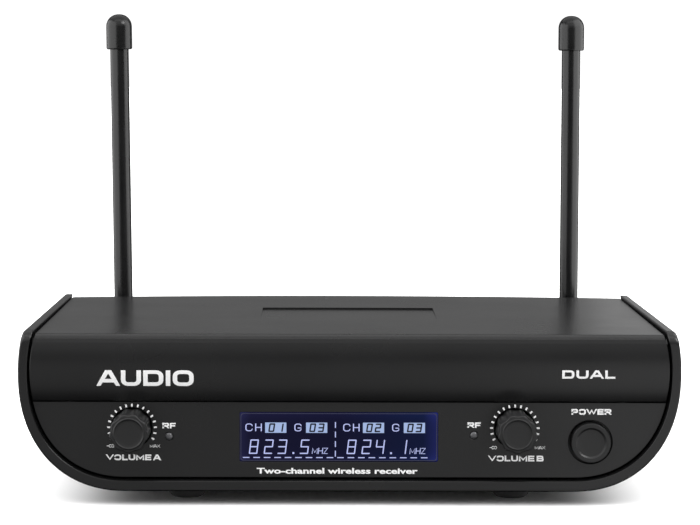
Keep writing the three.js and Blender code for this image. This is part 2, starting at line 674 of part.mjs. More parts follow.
const XLR_FLANGE = { width: 26, height: 31, wall: 2 };
const XLR_PIN = { radius: 1.2, circle: 4.2, sides: 10 };
const JACK_BODY = { halfWidth: 8, halfHeight: 7.5 };
const JACK_NUT = { radius: 8.1, wall: 2.5 };
const INLET_BODY = { halfWidth: 5, halfHeight: 6 };

// The shell of a three-pin output socket: a screwed flange outside and an open barrel inside.
function xlrShell() {
  const { width, height, wall } = XLR_FLANGE;
  const flange = prismAlongY(rectangle(0, 0, width, height), OUTSIDE_Y, OUTSIDE_Y + wall);
  const barrel = rodAlongY(XLR_RADIUS, XLR_START_Y, OUTSIDE_Y + 1);
  const holes = [[-XLR_SCREW.x, XLR_SCREW.z], [XLR_SCREW.x, -XLR_SCREW.z]].map(([x, z]) =>
    rodAlongY(1.7, OUTSIDE_Y - 1, OUTSIDE_Y + 3, x, z, SMALL_SIDES));
  return cut(join(flange, barrel), rodAlongY(XLR_BORE, XLR_START_Y - 1, OUTSIDE_Y + 3), ...holes);
}

// The insulating disc at the barrel's inner end, with its three pins.
function xlrInsert() {
  const disc = rodAlongY(XLR_BORE - FIT, XLR_START_Y + 0.5, XLR_START_Y + 4.5);
  const pins = [30, 150, 270].map((degrees) => {
    const angle = THREE.MathUtils.degToRad(degrees);
    const { radius, circle, sides } = XLR_PIN;
    const [x, z] = [circle * Math.cos(angle), circle * Math.sin(angle)];
    return rodAlongY(radius, XLR_START_Y - 3, XLR_START_Y + 16, x, z, sides);
  });
  return join(disc, ...pins);
}

function outputJack() {
  const { halfWidth, halfHeight } = JACK_BODY;
  const bodyEnd = REAR_PANEL_FRONT_Y - FIT;
  const body = block([-halfWidth, halfWidth], [JACK.start, bodyEnd], [-halfHeight, halfHeight]);
  const barrel = rodAlongY(JACK.radius, bodyEnd - 1.7, JACK.end);
  return cut(join(body, barrel), rodAlongY(JACK.bore, JACK.start + 2, JACK.end + 1));
}

function jackNut() {
  const { radius, wall } = JACK_NUT;
  const hexagon = rodAlongY(radius, OUTSIDE_Y, OUTSIDE_Y + wall, 0, 0, 6);
  return cut(hexagon, rodAlongY(JACK.radius + FIT, OUTSIDE_Y - 1, OUTSIDE_Y + wall + 1));
}

// The direct-current inlet: a round socket with a centre pin.
function powerInlet() {
  const { halfWidth, halfHeight } = INLET_BODY;
  const bodyEnd = REAR_PANEL_FRONT_Y - FIT;
  const body = block([-halfWidth, halfWidth], [INLET.start, bodyEnd], [-halfHeight, halfHeight]);
  const barrel = rodAlongY(INLET.radius, bodyEnd - 1.7, INLET.end);
  const socket = cut(join(body, barrel), rodAlongY(INLET.bore, INLET.start + 5, INLET.end + 1));
  return join(socket, rodAlongY(1, INLET.start + 4, INLET.end - 1.7, 0, 0, SMALL_SIDES));
}

for (const channel of ["a", "b"]) {
  const x = XLR_X[channel];
  const headY = OUTSIDE_Y + XLR_FLANGE.wall + FIT;
  const screwShape = rearDrivenScrew(2.6, 1.4, 1.25, 9);
  place(`xlr_output_${channel}`, xlrShell(), connectorBlack, [x, 0, XLR_Z]);
  place(`xlr_insert_${channel}`, xlrInsert(), plated, [x, 0, XLR_Z]);
  place(`xlr_screw_${channel}_1`, screwShape, blackSteel, [x - XLR_SCREW.x, headY, XLR_Z + XLR_SCREW.z]);
  place(`xlr_screw_${channel}_2`, screwShape, blackSteel, [x + XLR_SCREW.x, headY, XLR_Z - XLR_SCREW.z]);
}
place("output_jack", outputJack(), connectorBlack, [JACK.x, 0, JACK.z]);
place("output_jack_nut", jackNut(), plated, [JACK.x, 0, JACK.z]);
place("power_inlet", powerInlet(), connectorBlack, [INLET.x, 0, INLET.z]);

// ---- Aerials ----

// The fixed bushing: a collar outside the rear panel and a threaded stem through it.
function aerialBase() {
  const stemY = AERIAL_STEM_Y - AERIAL_Y;
  const collarY = OUTSIDE_Y - AERIAL_Y;
  return turnedAboutY([
    [0, stemY], [STEM_RADIUS, stemY], [STEM_RADIUS, collarY], [6.5, collarY],
    [6.5, collarY + 2.5], [6, collarY + 3], [0, collarY + 3],
  ]);
}

// The swivel: a hub that turns on the bushing, and two ears that hold the tilt pin.
function aerialSwivel() {
  const hub = rodAlongY(AERIAL_HUB_RADIUS, -6.9, -4.4);
  const ear = new THREE.Shape();
  ear.moveTo(-5, -EAR_RADIUS);
  ear.lineTo(0, -EAR_RADIUS);
  ear.absarc(0, 0, EAR_RADIUS, -Math.PI / 2, Math.PI / 2, false);
  ear.lineTo(-5, EAR_RADIUS);
  ear.closePath();
  const ears = join(prismAlongX(ear, -4.5, -2.45), prismAlongX(ear, 2.45, 4.5));
  return cut(join(hub, ears), rodAlongX(PIN_HOLE_RADIUS, -6, 6));
}

// The rod: a flat tongue around the tilt pin, then the flexible round rod.
function aerialRod() {
  const tongue = new THREE.Shape();
  tongue.moveTo(TONGUE_RADIUS, 0);
  tongue.lineTo(TONGUE_RADIUS, ROD_START_Z + 1);
  tongue.lineTo(-TONGUE_RADIUS, ROD_START_Z + 1);
  tongue.lineTo(-TONGUE_RADIUS, 0);
  tongue.absarc(0, 0, TONGUE_RADIUS, Math.PI, 2 * Math.PI, false);
  const rod = rodAlongZ(ROD_RADIUS, ROD_START_Z, CAP_BOTTOM_Z + CAP_BORE_DEPTH - 0.4);
  return cut(join(prismAlongX(tongue, -2.1, 2.1), rod), rodAlongX(PIN_HOLE_RADIUS, -6, 6));
}

function aerialCap() {
  const boreTop = CAP_BOTTOM_Z + CAP_BORE_DEPTH;
  return turnedAboutZ([
    [ROD_RADIUS + FIT, CAP_BOTTOM_Z], [CAP_RADIUS - 0.3, CAP_BOTTOM_Z],
    [CAP_RADIUS, CAP_BOTTOM_Z + 0.4], [CAP_RADIUS, CAP_TOP_Z - 4.2], [CAP_RADIUS - 0.5, CAP_TOP_Z - 2.2],
    [CAP_RADIUS - 1.9, CAP_TOP_Z - 0.7], [0, CAP_TOP_Z], [0, boreTop], [ROD_RADIUS + FIT, boreTop],
    [ROD_RADIUS + FIT, CAP_BOTTOM_Z],
  ]);
}

// The screened lead from the bushing to its radio circuit's can. Side is -1 on the left, 1 on the right.
function aerialLead(side) {
  return tubeAlong([
    [side * AERIAL_X, AERIAL_STEM_Y - FIT, AERIAL_Z], [side * AERIAL_X, AERIAL_STEM_Y - 6, AERIAL_Z],
    [side * 81, 97, 33], [side * 70, 79, 25], [side * 56, 66, 19.5],
    [side * (SHIELD.x + 15.4), SHIELD.y, 18.5],
  ], 0.9, 18);
}

for (const [channel, side] of [["a", -1], ["b", 1]]) {
  const aerial = new THREE.Group();
  aerial.position.set(side * AERIAL_X, AERIAL_Y, AERIAL_Z);
  aerial.rotation.y = THREE.MathUtils.degToRad(AERIAL_LEAN[channel]);
  receiver.add(aerial);
  const here = [0, 0, 0];
  place(`antenna_base_${channel}`, aerialBase(), plated, here, aerial);
  place(`antenna_swivel_${channel}`, aerialSwivel(), aerialBlack, here, aerial);
  place(`antenna_pin_${channel}`, rodAlongX(1.3, -4.6, 4.6), blackSteel, here, aerial);
  place(`antenna_rod_${channel}`, aerialRod(), aerialBlack, here, aerial);
  place(`antenna_cap_${channel}`, aerialCap(), aerialBlack, here, aerial);
  place(`antenna_lead_${channel}`, aerialLead(side), connectorBlack);
}

// ---- Origin under the middle of the bounding box ----

receiver.position.y = -(KNOB_FRONT_Y + AERIAL_Y + CAP_RADIUS) / 2;

const assembly = new THREE.Group();
assembly.add(receiver);
export default assembly;
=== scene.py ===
"""Looks of a two-channel wireless microphone receiver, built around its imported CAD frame.

Every piece is drawn in millimetres from the middle of the casing's front edge: X to the right, Y to the
back, and Z up from the surface that the feet stand on. piece() turns it into the frame's metres.
"""

import json
import math

import bmesh
import bpy
from mathutils import Matrix, Vector


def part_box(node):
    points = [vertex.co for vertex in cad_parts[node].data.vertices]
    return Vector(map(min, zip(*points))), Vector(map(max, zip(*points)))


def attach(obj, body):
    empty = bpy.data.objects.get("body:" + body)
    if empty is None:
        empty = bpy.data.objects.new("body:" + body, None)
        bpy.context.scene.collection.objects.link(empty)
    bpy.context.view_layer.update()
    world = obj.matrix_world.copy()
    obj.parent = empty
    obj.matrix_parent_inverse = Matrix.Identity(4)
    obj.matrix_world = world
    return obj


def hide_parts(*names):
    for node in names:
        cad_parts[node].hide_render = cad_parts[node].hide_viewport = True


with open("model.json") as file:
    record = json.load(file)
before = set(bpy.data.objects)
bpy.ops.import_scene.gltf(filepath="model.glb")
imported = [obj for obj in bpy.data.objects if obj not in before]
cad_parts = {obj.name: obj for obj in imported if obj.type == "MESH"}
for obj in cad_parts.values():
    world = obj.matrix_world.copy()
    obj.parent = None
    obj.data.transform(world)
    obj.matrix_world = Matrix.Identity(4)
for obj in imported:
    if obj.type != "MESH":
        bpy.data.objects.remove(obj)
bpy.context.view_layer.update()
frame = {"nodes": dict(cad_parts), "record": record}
scene = bpy.context.scene

MM = 0.001
FRONT_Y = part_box("bottom_shell")[0].y / MM
TO_FRAME = Matrix.Scale(MM, 4) @ Matrix.Translation((0, FRONT_Y, 0))


def span(node):
    """A CAD node's lowest corner, highest corner and middle, in this file's millimetres."""
    shift = Vector((0, FRONT_Y, 0))
    low, high = (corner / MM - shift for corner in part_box(node))
    return low, high, (low + high) / 2


def middle(node):
    return span(node)[2]


# ---- Driving dimensions ----

CASE_DEPTH = span("bottom_shell")[1].y
CASE_BOTTOM_Z = span("bottom_shell")[0].z
CASE_TOP_Z = span("bottom_shell")[1].z
CASE_FLOOR = 3.4
SIDE_WALL = 2.95
FLOOR_TOP_Z = CASE_BOTTOM_Z + CASE_FLOOR
CASE_FRONT_CORNER = 4.0  # radius of the side walls' upper corners, seen from the side
CASE_REAR_CORNER = 1.2
CASE_EDGE = 0.55  # rounding of the outer skin's front and rear edges
LINING_EDGE = 0.3
SIDE_CENTRE_X = 72.1  # the curved sides are superellipse quadrants about this point
SIDE_CENTRE_Z = 42.7
SIDE_REACH = span("bottom_shell")[1].x - SIDE_CENTRE_X + 0.3
SIDE_RISE = SIDE_CENTRE_Z - CASE_BOTTOM_Z
SIDE_POWER = 2.2

COVER_TOP_Z = span("top_cover")[1].z - 0.1
COVER_REAR_Y = span("top_cover")[1].y
COVER_WALL = 2.5
COVER_GAP = {"front": 0.7, "rear": 0.05}  # between the cover and the side walls
PANEL_GAP = 0.7
CREST_FALL = 0.35  # how much lower the side walls' crests are at the rear
SEAM_Z = 33.5
BROW_FRONT_Y = 0.5
BROW_CENTRE_Z = 45.0
BROW_RADIUS = 38.0
RECESS_HALF_WIDTH = 30.1
RECESS_FRONT_Y = 46.0
RECESS_REAR_Y = 87.0
RECESS_DEPTH = 0.65

PANEL_Y = span("front_panel")[0].y
PANEL_BACK_Y = PANEL_Y + 2.5
PANEL_LOW_Z = span("front_panel")[0].z
PANEL_HIGH_Z = span("front_panel")[1].z
WINDOW = middle("lcd_glass")
WINDOW_WIDTH = 63.5
WINDOW_HEIGHT = 15.5
FIT = 0.3
KNOB_RADIUS = 6.3
BUTTON_RADIUS = 6.4
LAMP_RADIUS = 1.22

VENT_X = 32.0  # the middle slot of five on each side
VENT_Y = 74.0
VENT_PITCH = 6.0
VENT_WIDTH = 2.0
VENT_LENGTH = 28.0
SCREW_WELL_RADIUS = 3.2
SCREW_WELL_TOP_Z = 7.6
FOOT_HOLE_RADIUS = 2.3

REAR_PANEL_Y = span("rear_panel")[1].y
OUTSIDE_Y = span("xlr_screw_a_1")[1].y - 3.7  # where connector flanges seat on the rear panel
REAR_BODY_Y = REAR_PANEL_Y - 2.8  # where the sockets' bodies end, inside the rear panel
XLR_BORE = 8.2
XLR_PIN_RING = 4.2
XLR_SCREWS = ((-9.5, 12), (9.5, -12))  # from the socket's middle, across and up
JACK_BORE = 3.3
JACK_HOLE = 5.8
PIN_HOLE = 1.6
ROD_RADIUS = 3.45
AERIAL_LEAN = {"a": -0.74, "b": 0.0}  # degrees about Y that each aerial was left leaning

CREASE_ANGLE = 32  # edges that turn by more degrees than this look sharp
CORNERS = ("front_left", "front_right", "rear_left", "rear_right")
CHANNELS = ("a", "b")

# ---- Mesh building ----


def cleaned(mesh):
    """The mesh with doubled points merged and its faces turned outwards."""
    shape = bmesh.new()
    shape.from_mesh(mesh)
    bmesh.ops.remove_doubles(shape, verts=shape.verts, dist=1e-4)
    bmesh.ops.dissolve_degenerate(shape, edges=shape.edges, dist=1e-5)
    bmesh.ops.recalc_face_normals(shape, faces=shape.faces)
    shape.to_mesh(mesh)
    shape.free()
    return mesh


def joined(*meshes):
    """Several meshes as one, left as separate closed bodies."""
    shape = bmesh.new()
    for mesh in meshes:
        shape.from_mesh(mesh)
    result = bpy.data.meshes.new(meshes[0].name)
    shape.to_mesh(result)
    shape.free()
    return result


def moved(mesh, offset):
    copy = mesh.copy()
    copy.transform(Matrix.Translation(offset))
    return copy


def turned(mesh, angle, axis, pivot):
    """A copy turned by angle degrees about a line through pivot."""
    copy = mesh.copy()
    about = Matrix.Translation(pivot) @ Matrix.Rotation(math.radians(angle), 4, axis)
    copy.transform(about @ Matrix.Translation(-Vector(pivot)))
    return copy


def boolean(operation, base, *tools):
    """The base mesh joined with, or cut by, each tool in turn."""
    body = bpy.data.objects.new("boolean_base", base)
    scene.collection.objects.link(body)
    helpers = []
    for tool in tools:
        helper = bpy.data.objects.new("boolean_tool", tool)
        scene.collection.objects.link(helper)
        step = body.modifiers.new("step", "BOOLEAN")
        step.operation = operation
        step.solver = "EXACT"
        step.object = helper
        helpers.append(helper)
    made = evaluated_mesh(body)
    for helper in [body, *helpers]:
        bpy.data.objects.remove(helper)
    return cleaned(made)


def evaluated_mesh(obj):
    graph = bpy.context.evaluated_depsgraph_get()
    graph.update()
    return bpy.data.meshes.new_from_object(obj.evaluated_get(graph))


def carve(base, *tools):
    return boolean("DIFFERENCE", base, *tools)


def fuse(base, *tools):
    return boolean("UNION", base, *tools)


def loft(rings, caps=True):
    """A skin through closed rings of equally many points, with flat ends if it has caps."""
    count = len(rings[0])
    points = [p for ring in rings for p in ring]
    faces = []
    for i in range(len(rings) - 1):
        for j in range(count):
            k = (j + 1) % count
            faces.append((i * count + j, i * count + k, (i + 1) * count + k, (i + 1) * count + j))
    if caps:
        faces.append(tuple(range(count)))
        faces.append(tuple(range((len(rings) - 1) * count, len(rings) * count)))
    mesh = bpy.data.meshes.new("loft")
    mesh.from_pydata(points, [], faces)
    return cleaned(mesh)


def along(axis, at, radial, height):
    """A point from a radial pair and a height along an axis through at."""
    u, v = radial
    if axis == "X":
        return (at[0] + height, at[1] + u, at[2] + v)
    if axis == "Y":
        return (at[0] + u, at[1] + height, at[2] + v)
    return (at[0] + u, at[1] + v, at[2] + height)


def lathe(profile, at=(0, 0, 0), axis="Y", sides=64, lobes=None):
    """A profile of (radius, height) pairs turned about an axis. A profile that neither starts nor ends on
    the axis closes on itself. lobes(angle, radius) may change the radius on the way round."""
    on_axis = profile[0][0] < 1e-6
    rings = []
    for radius, height in profile:
        ring = []
        for i in range(sides):
            angle = 2 * math.pi * i / sides
            reach = lobes(angle, radius) if lobes else radius
            ring.append(along(axis, at, (reach * math.cos(angle), reach * math.sin(angle)), height))
        rings.append(ring)
    if not on_axis:
        rings.append(rings[0])
    return loft(rings, caps=False)


def spun(profile, centre, sides=64, lobes=None):
    """A profile turned about the line along Y through a centre, with its heights measured along Y."""
    return lathe(profile, (centre.x, 0, centre.z), "Y", sides, lobes)


def arc(centre, radius, start, end, steps):
    """Points round an arc, with its angles in degrees."""
    points = []
    for i in range(steps + 1):
        angle = math.radians(start + (end - start) * i / steps)
        points.append((centre[0] + radius * math.cos(angle), centre[1] + radius * math.sin(angle)))
    return points


def circle(x, z, radius, steps=64):
    return arc((x, z), radius, 0, 360, steps)[:-1]


def rounded(corners, steps=4, closed=True):
    """An outline through corners (u, v, radius), each rounded to its radius."""
    points = []
    count = len(corners)
    for i, (u, v, radius) in enumerate(corners):
        corner = Vector((u, v))
        at_end = not closed and i in (0, count - 1)
        if radius <= 0 or at_end:
            points.append((u, v))
            continue
        back = (Vector(corners[i - 1][:2]) - corner).normalized()
        ahead = (Vector(corners[(i + 1) % count][:2]) - corner).normalized()
        half = back.angle(ahead) / 2
        centre = corner + (back + ahead).normalized() * radius / math.sin(half)
        first = corner + back * radius / math.tan(half) - centre
        last = corner + ahead * radius / math.tan(half) - centre
        sweep = first.angle_signed(last)
        for k in range(steps + 1):
            turn = -sweep * k / steps
            c, s = math.cos(turn), math.sin(turn)
            points.append((centre.x + first.x * c - first.y * s, centre.y + first.x * s + first.y * c))
    return points


def box_outline(u, v, width, height, radius=0.0):
    a, b = width / 2, height / 2
    signs = [(-1, -1), (1, -1), (1, 1), (-1, 1)]
    return rounded([(u + a * p, v + b * q, radius) for p, q in signs])


def plate(outlines, low, high, bevel=0.0, axis="Y"):
    """A sheet between two heights along an axis. The first outline is its edge and the rest are holes."""
    curve = bpy.data.curves.new("plate", "CURVE")
    curve.dimensions = "2D"
    curve.fill_mode = "BOTH"
    curve.extrude = (high - low) / 2 - bevel
    curve.bevel_depth = bevel
    curve.bevel_resolution = 2
    curve.offset = -bevel
    for outline in outlines:
        spline = curve.splines.new("POLY")
        spline.points.add(len(outline) - 1)
        for point, (u, v) in zip(spline.points, outline):
            point.co = (u, v, 0, 1)
        spline.use_cyclic_u = True
    mesh = curve_mesh(curve)
    centre = (low + high) / 2
    columns = {
        "X": ((0, 1, 0), (0, 0, 1), (1, 0, 0)),
        "Y": ((1, 0, 0), (0, 0, 1), (0, 1, 0)),
        "Z": ((1, 0, 0), (0, 1, 0), (0, 0, 1)),
    }[axis]
    basis = Matrix(columns).transposed().to_4x4()
    mesh.transform(Matrix.Translation(Vector(columns[2]) * centre) @ basis)
    return cleaned(mesh)


def curve_mesh(curve):
    obj = bpy.data.objects.new("curve", curve)
    scene.collection.objects.link(obj)
    mesh = evaluated_mesh(obj)
    bpy.data.objects.remove(obj)
    return mesh


def piece(name, mesh, material, body, nodes=()):
    """One finished piece: in the frame's metres, smooth up to the crease angle, riding on its body."""
    mesh.name = name
    mesh.transform(TO_FRAME)
    mesh.materials.clear()
    mesh.materials.append(material)
    mesh.shade_smooth()
    mesh.set_sharp_from_angle(angle=math.radians(CREASE_ANGLE))
    obj = bpy.data.objects.new(name, mesh)
    scene.collection.objects.link(obj)
    shading = obj.modifiers.new("face weighted normals", "WEIGHTED_NORMAL")
    shading.keep_sharp = True
    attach(obj, body)
    if nodes:
        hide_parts(*nodes)
    return obj


# ---- Materials ----


def fill_ramp(ramp, stops):
    """Sets a colour ramp to stops of (position, colour)."""
    for _ in stops[2:]:
        ramp.color_ramp.elements.new(0.5)
    for element, (position, colour) in zip(ramp.color_ramp.elements, stops):
        element.position = position
        element.color = (*colour, 1)


class Look:
    """A material with one Principled shader, and short ways to feed its sockets with procedural detail."""

    def __init__(self, name, colour, roughness, metallic=0.0, specular=0.5):
        self.material = bpy.data.materials.new(name)
        self.material.use_nodes = True
        self.tree = self.material.node_tree
        self.shader = self.tree.nodes["Principled BSDF"]
        self.colour = colour
        self.roughness = roughness
        self.set("Base Color", (*colour, 1))
        self.set("Roughness", roughness)
        self.set("Metallic", metallic)
        self.set("Specular IOR Level", specular)
        self.place = self.add("ShaderNodeTexCoord").outputs["Object"]

    def add(self, kind, **values):
        node = self.tree.nodes.new(kind)
        for key, value in values.items():
            setattr(node, key, value)
        return node

    def set(self, socket, value):
        self.shader.inputs[socket].default_value = value

    def link(self, source, target):
        self.tree.links.new(source, target)

    def noise(self, size, detail=2.0, stretch=(1, 1, 1)):
        """Noise whose features are about size millimetres across."""
        mapping = self.add("ShaderNodeMapping")
        mapping.inputs["Scale"].default_value = stretch
        self.link(self.place, mapping.inputs["Vector"])
        node = self.add("ShaderNodeTexNoise")
        node.inputs["Scale"].default_value = 1 / (size * MM)
        node.inputs["Detail"].default_value = detail
        self.link(mapping.outputs["Vector"], node.inputs["Vector"])
        return node.outputs["Fac"]

    def ranged(self, source, low, high, source_low=0.3, source_high=0.7):
        node = self.add("ShaderNodeMapRange")
        node.inputs["From Min"].default_value = source_low
        node.inputs["From Max"].default_value = source_high
        node.inputs["To Min"].default_value = low
        node.inputs["To Max"].default_value = high
        self.link(source, node.inputs["Value"])
        return node.outputs["Result"]

    def mottle(self, size, amount):
        """Lets the colour drift by a share of itself over patches of that size."""
        ramp = self.add("ShaderNodeValToRGB")
        darker = [c * (1 - amount) for c in self.colour]
        paler = [min(1, c * (1 + amount)) for c in self.colour]
        fill_ramp(ramp, [(0.3, darker), (0.7, paler)])
        self.link(self.noise(size), ramp.inputs["Fac"])
        self.link(ramp.outputs["Color"], self.shader.inputs["Base Color"])
        return self

    def handled(self, size, amount):
        """Lets the roughness vary as it does where a surface was touched or wiped."""
        low, high = self.roughness - amount, self.roughness + amount
        self.link(self.ranged(self.noise(size, 3), low, high), self.shader.inputs["Roughness"])
        return self

    def grain(self, size, depth, detail=2.0, stretch=(1, 1, 1)):
        """A moulded or brushed relief: features of that size, and that deep, in millimetres."""
        bump = self.add("ShaderNodeBump")
        bump.inputs["Distance"].default_value = depth * MM
        bump.inputs["Strength"].default_value = 1.0
        self.link(self.noise(size, detail, stretch), bump.inputs["Height"])
        self.link(bump.outputs["Normal"], self.shader.inputs["Normal"])
        return self

    def coat(self, weight, roughness):
        self.set("Coat Weight", weight)
        self.set("Coat Roughness", roughness)
        return self


def window_look():
    """The lit display behind its window: violet blue, paler towards the edges where the light enters."""
    look = Look("lit_window", (0.003, 0.003, 0.006), 0.14, specular=0.06)
    part = look.add("ShaderNodeSeparateXYZ")
    look.link(look.place, part.inputs["Vector"])
    half = WINDOW_WIDTH / 2 * MM
    right = look.ranged(part.outputs["X"], 0, 1, WINDOW.x * MM - half, WINDOW.x * MM + half)
    ramp = look.add("ShaderNodeValToRGB")
    stops = [(0.0, (0.011, 0.0115, 0.045)), (0.05, (0.005, 0.0047, 0.0225)), (0.5, (0.003, 0.0032, 0.0195)),
             (0.93, (0.002, 0.006, 0.034)), (1.0, (0.01, 0.014, 0.095))]
    fill_ramp(ramp, stops)
    look.link(right, ramp.inputs["Fac"])
    look.link(ramp.outputs["Color"], look.shader.inputs["Emission Color"])
    bottom, top = (WINDOW.z + side * WINDOW_HEIGHT / 2 for side in (-1, 1))
    up = look.ranged(part.outputs["Z"], -1, 1, bottom * MM, top * MM)
    bowl = look.add("ShaderNodeMath", operation="POWER")
    bowl.inputs[1].default_value = 4
    strength = look.add("ShaderNodeMath", operation="MULTIPLY_ADD")
    strength.inputs[1].default_value = 0.7
    strength.inputs[2].default_value = 0.85
    size = look.add("ShaderNodeMath", operation="ABSOLUTE")
    look.link(up, size.inputs[0])
    look.link(size.outputs["Value"], bowl.inputs[0])
    look.link(bowl.outputs["Value"], strength.inputs[0])
    look.link(strength.outputs["Value"], look.shader.inputs["Emission Strength"])
    return look.handled(30, 0.03)


def lit_look(name, colour):
    """Display segments: their glow drifts a little, as a backlight does."""
    look = Look(name, (0.02, 0.02, 0.03), 0.3)
    look.set("Emission Color", (*colour, 1))
    look.link(look.ranged(look.noise(14), 0.9, 1.0), look.shader.inputs["Emission Strength"])
    return look


LOOKS = {
    "casing": Look("black_moulding", (0.0062, 0.0062, 0.0064), 0.26)
    .mottle(18, 0.08).handled(34, 0.02).grain(0.45, 0.003, 3),
    "window": window_look(),
    "foot_rubber": Look("foot_rubber", (0.012, 0.012, 0.012), 0.78).mottle(3, 0.2).grain(0.5, 0.03, 4),
    "black_steel": Look("blackened_steel", (0.05, 0.05, 0.052), 0.38, metallic=0.9)
    .mottle(2, 0.15).handled(3, 0.08).grain(0.25, 0.003),
    "display_glass": Look("display_glass", (0.02, 0.018, 0.09), 0.08).mottle(10, 0.1),
    "light_guide": Look("light_guide", (0.75, 0.8, 0.9), 0.35).mottle(6, 0.03),
    "circuit_board": Look("solder_mask", (0.012, 0.11, 0.04), 0.32).mottle(4, 0.2).grain(1.2, 0.01),
    "control_plastic": Look("control_moulding", (0.008, 0.008, 0.0083), 0.4)
    .mottle(6, 0.08).handled(9, 0.03).grain(0.3, 0.0015),
    "lamp_plastic": Look("lamp_plastic", (0.085, 0.085, 0.09), 0.22).mottle(1.5, 0.12).coat(0.4, 0.1),
    "connector_plastic": Look("connector_moulding", (0.016, 0.016, 0.018), 0.3)
    .mottle(8, 0.1).grain(0.4, 0.004),
    "plated_metal": Look("nickel_plate", (0.62, 0.61, 0.59), 0.24, metallic=1.0)
    .mottle(7, 0.06).handled(5, 0.06).grain(0.5, 0.002, stretch=(1, 0.15, 1)),
    "cable_sheath": Look("flat_cable", (0.3, 0.31, 0.33), 0.5)
    .mottle(4, 0.08).grain(1.27, 0.05, 0, (1, 0.02, 0.02)),
    "antenna_rubber": Look("aerial_sleeve", (0.0035, 0.0035, 0.0037), 0.26, specular=0.42)
    .mottle(12, 0.12).handled(20, 0.03).grain(0.6, 0.002, 3),
    "antenna_plastic": Look("aerial_moulding", (0.014, 0.014, 0.015), 0.4).mottle(5, 0.1).grain(0.35, 0.005),
}
INK = Look("white_ink", (0.96, 0.96, 0.96), 0.5).mottle(1.2, 0.03).grain(0.12, 0.002).material


def slotted(name, mesh, body, slot, *nodes):
    """A piece that stands for CAD nodes and has their slot's look."""
    return piece(name, mesh, LOOKS[slot].material, body, nodes)


for subpart in frame["record"]["subparts"]:
    node_mesh = frame["nodes"][subpart["node"]].data
    node_mesh.materials.clear()
    node_mesh.materials.append(LOOKS[subpart["material_slot"]].material)

# ---- Casing ----


def drawn_back(depth, radius):
    """How far a round edge of that radius lies inside the full outline, at a depth from its start."""
    if depth >= radius:
        return 0.0
    return radius - math.sqrt(radius**2 - (radius - depth) ** 2)


def quarter(radius, steps):
    """Depths through a round edge, closer together where it turns fastest."""
    return [radius * (1 - math.cos(math.pi / 2 * i / steps)) for i in range(steps + 1)]


def side_x(z, gap):
    """Half the width between the casing's side walls at a height, less a gap."""
    share = min(1.0, abs(z - SIDE_CENTRE_Z) / (SIDE_RISE - CASE_FLOOR - gap))
    reach = SIDE_REACH - SIDE_WALL - gap
    return SIDE_CENTRE_X + reach * (1 - share**SIDE_POWER) ** (1 / SIDE_POWER)


def side_curve(side_inset, floor_inset, low, high, steps=40):
    """Points (x, z) up the right side, inside its outer skin by one distance at the side and one below."""
    rise = SIDE_RISE - floor_inset

    def angle_at(z):
        share = min(1.0, abs(z - SIDE_CENTRE_Z) / rise)
        return math.copysign(math.asin(share ** (SIDE_POWER / 2)), z - SIDE_CENTRE_Z)

    start, end = angle_at(low), angle_at(high)
    points = []
    for i in range(steps + 1):
        angle = start + (end - start) * i / steps
        reach = (SIDE_REACH - side_inset) * max(0.0, math.cos(angle)) ** (2 / SIDE_POWER)
        climb = rise * abs(math.sin(angle)) ** (2 / SIDE_POWER)
        points.append((SIDE_CENTRE_X + reach, SIDE_CENTRE_Z + math.copysign(climb, angle)))
    return points


def mirrored(points):
    return [(-u, v) for u, v in reversed(points)]


def inside_outline(gap, low, high):
    right = side_curve(SIDE_WALL + gap, CASE_FLOOR + gap, low, high)
    return right + mirrored(right)


def shell_ring(y):
    """The casing's U outline at a depth, with its edges rounded at the front and the rear."""
    behind = CASE_DEPTH - y
    skin = drawn_back(y, CASE_EDGE) + drawn_back(behind, CASE_EDGE)
    lining = drawn_back(y, LINING_EDGE) + drawn_back(behind, LINING_EDGE)
    top = CASE_TOP_Z - CREST_FALL * y / CASE_DEPTH
    top -= drawn_back(y, CASE_FRONT_CORNER) + drawn_back(behind, CASE_REAR_CORNER)
    wall = SIDE_WALL - skin - lining
    outer_radius, inner_radius = 0.56 * wall, 0.14 * wall
    outer = side_curve(skin, skin, CASE_BOTTOM_Z + skin, top - outer_radius)
    inner = side_curve(SIDE_WALL - lining, CASE_FLOOR - lining, FLOOR_TOP_Z - lining, top - inner_radius)
    crest = arc((outer[-1][0] - outer_radius, top - outer_radius), outer_radius, 0, 90, 8)[1:]
    crest += arc((inner[-1][0] + inner_radius, top - inner_radius), inner_radius, 90, 180, 4)[:-1]
    right = outer + crest + inner[::-1]
    return [(u, y, v) for u, v in right + mirrored(right)]


def casing_shell():
    front = quarter(CASE_EDGE, 6) + [y for y in quarter(CASE_FRONT_CORNER, 12) if y > CASE_EDGE + 0.02]
    rear = quarter(CASE_EDGE, 5) + [y for y in quarter(CASE_REAR_CORNER, 6) if y > CASE_EDGE + 0.02]
    between = [CASE_DEPTH * i / 8 for i in range(1, 8)]
    depths = front + between + [CASE_DEPTH - y for y in reversed(rear)]
    shell = loft([shell_ring(y) for y in depths])
    below = CASE_BOTTOM_Z - 1
    cutters = []
    for side in (-1, 1):
        for i in range(-2, 3):
            slot = box_outline(side * VENT_X + i * VENT_PITCH, VENT_Y, VENT_WIDTH, VENT_LENGTH, 0.9)
            cutters.append(plate([slot], below, FLOOR_TOP_Z + 1, axis="Z"))
    for corner in CORNERS:
        screw_at = middle(f"case_screw_{corner}")
        foot_at = middle(f"foot_{corner}")
        for at, radius, top, sides in ((screw_at, SCREW_WELL_RADIUS, SCREW_WELL_TOP_Z, 48),
                                       (foot_at, FOOT_HOLE_RADIUS, FLOOR_TOP_Z + 1, 32)):
            hole = [(0, below), (radius, below), (radius, top), (0, top)]
            cutters.append(lathe(hole, (at.x, at.y, 0), "Z", sides))
    return carve(shell, joined(*cutters))


# ---- Top cover ----


